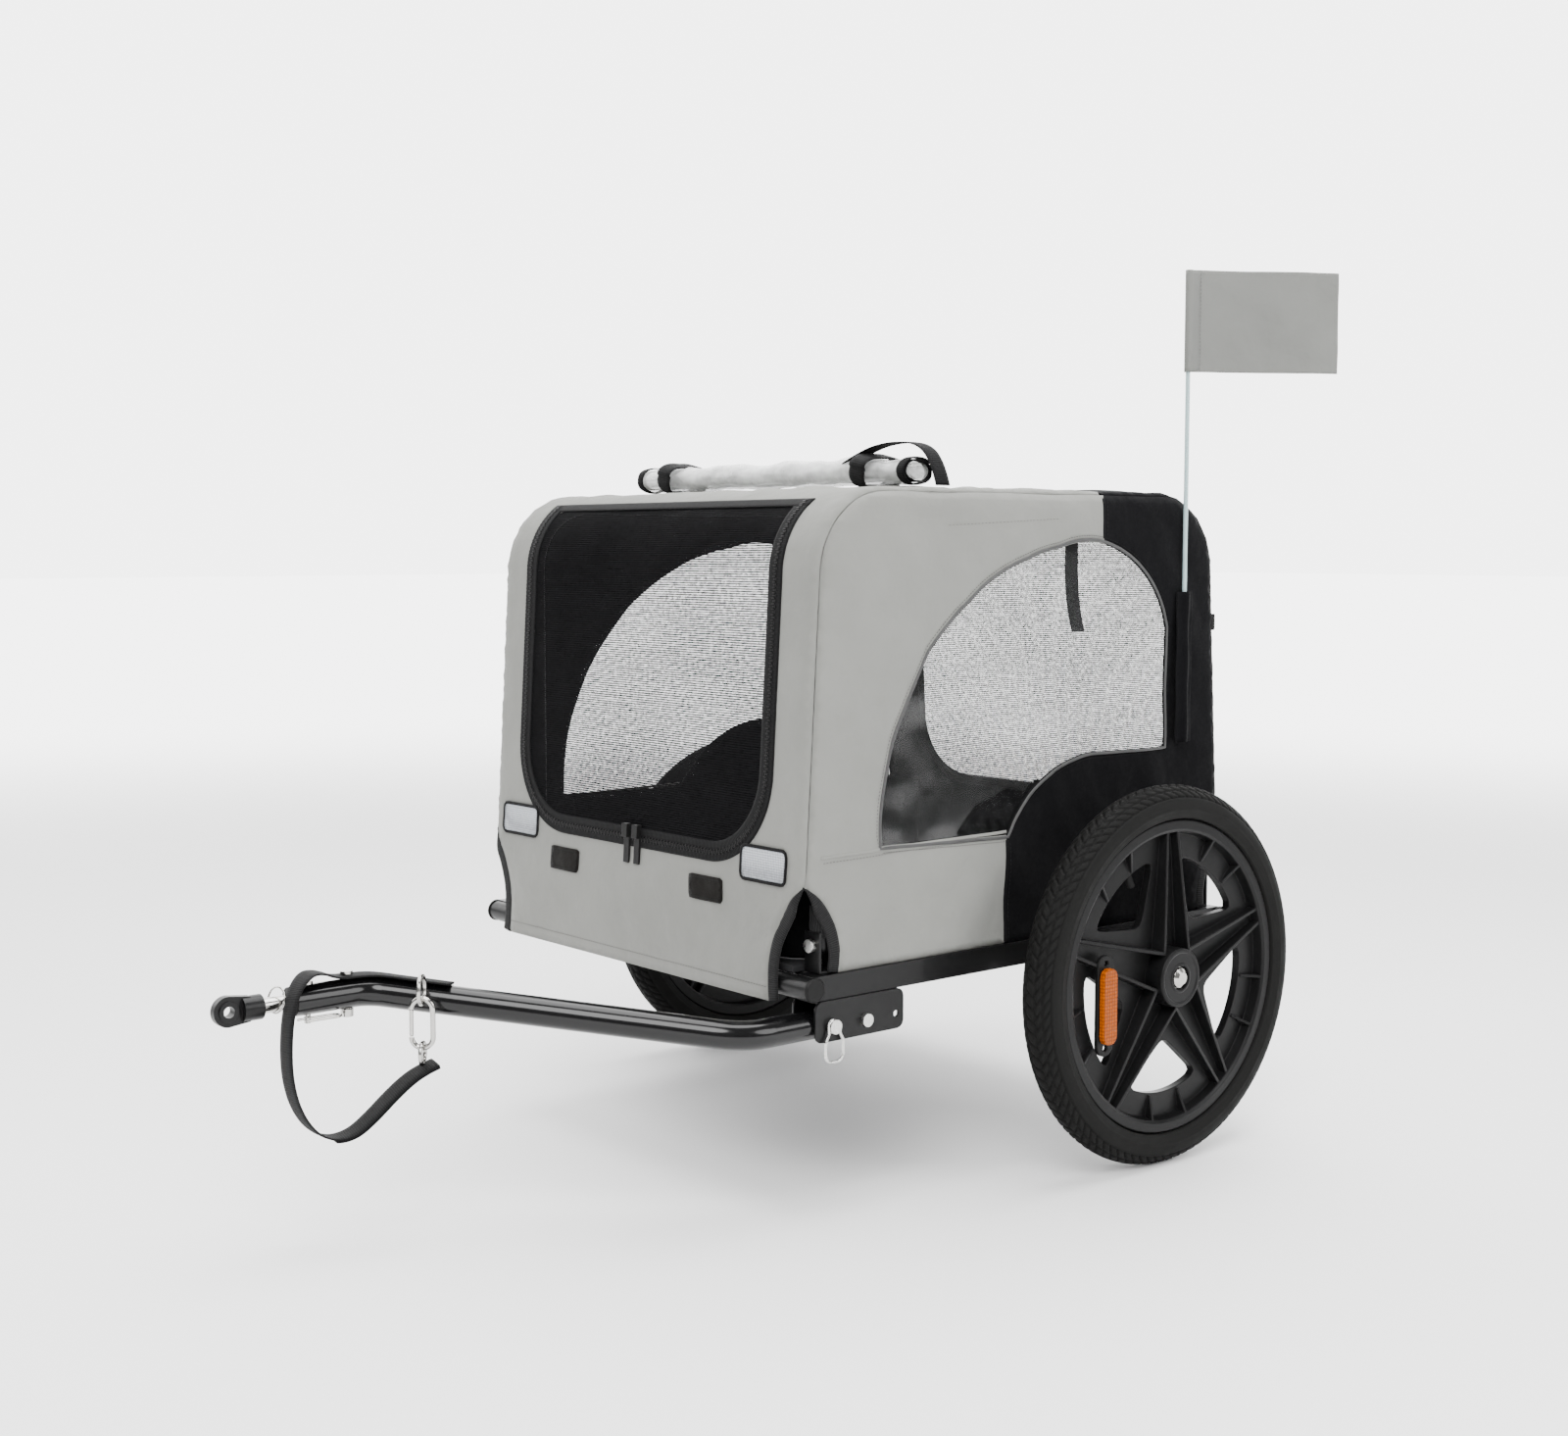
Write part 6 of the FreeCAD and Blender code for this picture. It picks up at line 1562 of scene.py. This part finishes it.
def make_tow_bracket():
    """Two rounded cheek plates under a roof plate, with their holes."""
    corner, roof_corner, roof_inset, edge = 0.008, 0.002, 0.012, 0.0006
    low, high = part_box("tow_bracket")
    centre = (low + high) / 2
    length = high.y - low.y
    loops = [rounded_rectangle(high.z - low.z, length, corner)]
    loops += [around((centre.z - ARM_LEVEL, FRONT_Y + setback - centre.y), radius, 20)
              for setback, radius in BRACKET_HOLES]
    verts, faces = plate(loops, PLATE_SPACING, BRACKET_PLATE / 2)
    batch = Batch()
    for x in (low.x + BRACKET_PLATE / 2, high.x - BRACKET_PLATE / 2):
        turn = Matrix.Translation((x, centre.y, centre.z)) @ Matrix.Rotation(math.pi / 2, 4, "Y")
        batch.add([turn @ Vector(v) for v in verts], faces)
    roof = rounded_rectangle(high.x - low.x - BRACKET_PLATE, length - roof_inset, roof_corner)
    batch.add(*prism(roof + [centre.x, centre.y], high.z - BRACKET_PLATE, high.z))
    bracket = batch.build("tow_bracket_plates", paint_satin)
    fix_normals(bracket)
    rounded(bracket, edge)
    on(bracket, "chassis", False, ["tow_bracket"])


def finish_nodes():
    for material, names in NODE_FINISH.items():
        for name in names:
            data = nodes[name].data
            data.materials.clear()
            data.materials.append(material)


# Stage: floor, backdrop, lights and camera
FLOOR_HALF = 40
BACKDROP_HEADING = (-0.768, 0.639, 0.04)
LIGHTS = (
    # name, place, aim, size, power
    ("key_light", (2.6, -2.4, 3.2), (0, 0, 0.4), 2.6, 230),
    ("fill_light", (-3.2, -2.0, 2.4), (0, 0, 0.4), 3.0, 90),
    ("side_light", (3.4, 1.6, 1.8), (0, 0.1, 0.35), 2.2, 85),
    ("top_light", (0.2, 0.4, 3.6), (0, 0, 0.3), 3.2, 235),
)
CAMERA_PLACE = (1.7236, -1.33493, 0.64706)
CAMERA_HEADING = (-0.7659, 0.6375, -0.0836)
CAMERA_SENSOR = 36.0
CAMERA_LENS = 46.87


def aimed(name, data, place, heading):
    """An object for a light or camera at a place, looking along a heading."""
    obj = bpy.data.objects.new(name, data)
    obj.location = place
    obj.rotation_euler = Vector(heading).to_track_quat("-Z", "Y").to_euler()
    bpy.context.scene.collection.objects.link(obj)
    return obj


def backdrop_glow(shader, heading):
    """Strength of the light that comes from a direction: bright behind the object, dim elsewhere."""
    facing = shader.operate("VectorMath", "DOT_PRODUCT", heading, BACKDROP_HEADING).outputs["Value"]
    return shader.spread(facing, 0.42, 5.0, 0.2, 0.85, "SMOOTHSTEP")


def floor_material():
    """Pale matte floor that fades into the backdrop's light far from the object."""
    shader = Shader("studio_floor", Roughness=0.6, Specular_IOR_Level=0.15, Emission_Color=(1, 1, 1, 1))
    level = shader.operate("VectorMath", "MULTIPLY", shader.place("Object"), (1, 1, 0)).outputs[0]
    away = shader.operate("VectorMath", "LENGTH", level).outputs["Value"]
    heading = shader.operate("VectorMath", "NORMALIZE", level).outputs[0]
    far = shader.spread(away, 0.0, 1.0, 1.6, 6.0, "SMOOTHERSTEP")
    hue = shader.ramp(far, [(0.0, (0.9, 0.9, 0.9)), (1.0, (0.0, 0.0, 0.0))])
    glow = shader.math("MULTIPLY", far, backdrop_glow(shader, heading))
    return shader.set(Base_Color=hue, Emission_Strength=glow)


def make_stage():
    corners = [(x * FLOOR_HALF, y * FLOOR_HALF, 0) for x, y in ((-1, -1), (1, -1), (1, 1), (-1, 1))]
    floor = add_mesh("studio_floor", corners, [(0, 1, 2, 3)], floor_material(), None, False)
    for name, place, aim, size, power in LIGHTS:
        data = bpy.data.lights.new(name, "AREA")
        data.energy = power
        data.shape = "DISK"
        data.size = size
        aimed(name, data, place, Vector(aim) - Vector(place))
    world = bpy.data.worlds.new("studio")
    bpy.context.scene.world = world
    world.use_nodes = True
    shader = Shader("studio", world.node_tree)
    background = world.node_tree.nodes["Background"]
    shader.put(background, "Color", (1, 1, 1, 1))
    shader.put(background, "Strength", backdrop_glow(shader, shader.place("Generated")))


def make_camera():
    data = bpy.data.cameras.new("photo_view")
    data.sensor_width = CAMERA_SENSOR
    data.lens = CAMERA_LENS
    bpy.context.scene.camera = aimed("photo_view", data, CAMERA_PLACE, CAMERA_HEADING)


make_camera()
make_stage()
finish_nodes()
make_safety_strap()
front_skin = make_end("cover_front", ribbon, BLACK_START, grey_cloth, thread_grey, 11,
                      ["cover_front", "cover_roof"])
make_end("cover_rear", rear_ribbon, CABIN_LENGTH - BLACK_START, black_cloth, thread_black, 12,
         ["cover_rear"])
make_door("front", ribbon, 31)
make_door("rear", rear_ribbon, 32)
for side_name, side_sign in SIDES:
    make_side(side_name, side_sign)
make_front_marks(front_skin)
make_zip_tabs("front")
make_zip_tabs("rear")
make_corner_linings()
for side_name, side_sign in SIDES:
    make_side_trim(side_name, side_sign)
for side_name, side_sign in SIDES:
    make_tyre(side_name, side_sign)
    make_rim(side_name, side_sign)
    make_reflector(side_name)
make_rain_roll()
make_flag()
make_sleeve()
make_mat()
make_leash()
for side_name, _ in SIDES:
    make_hoop(side_name)
for side_name, _ in SIDES:
    make_post_bands(side_name)
make_arm_rings()
make_tow_bracket()

bpy.context.view_layer.update()
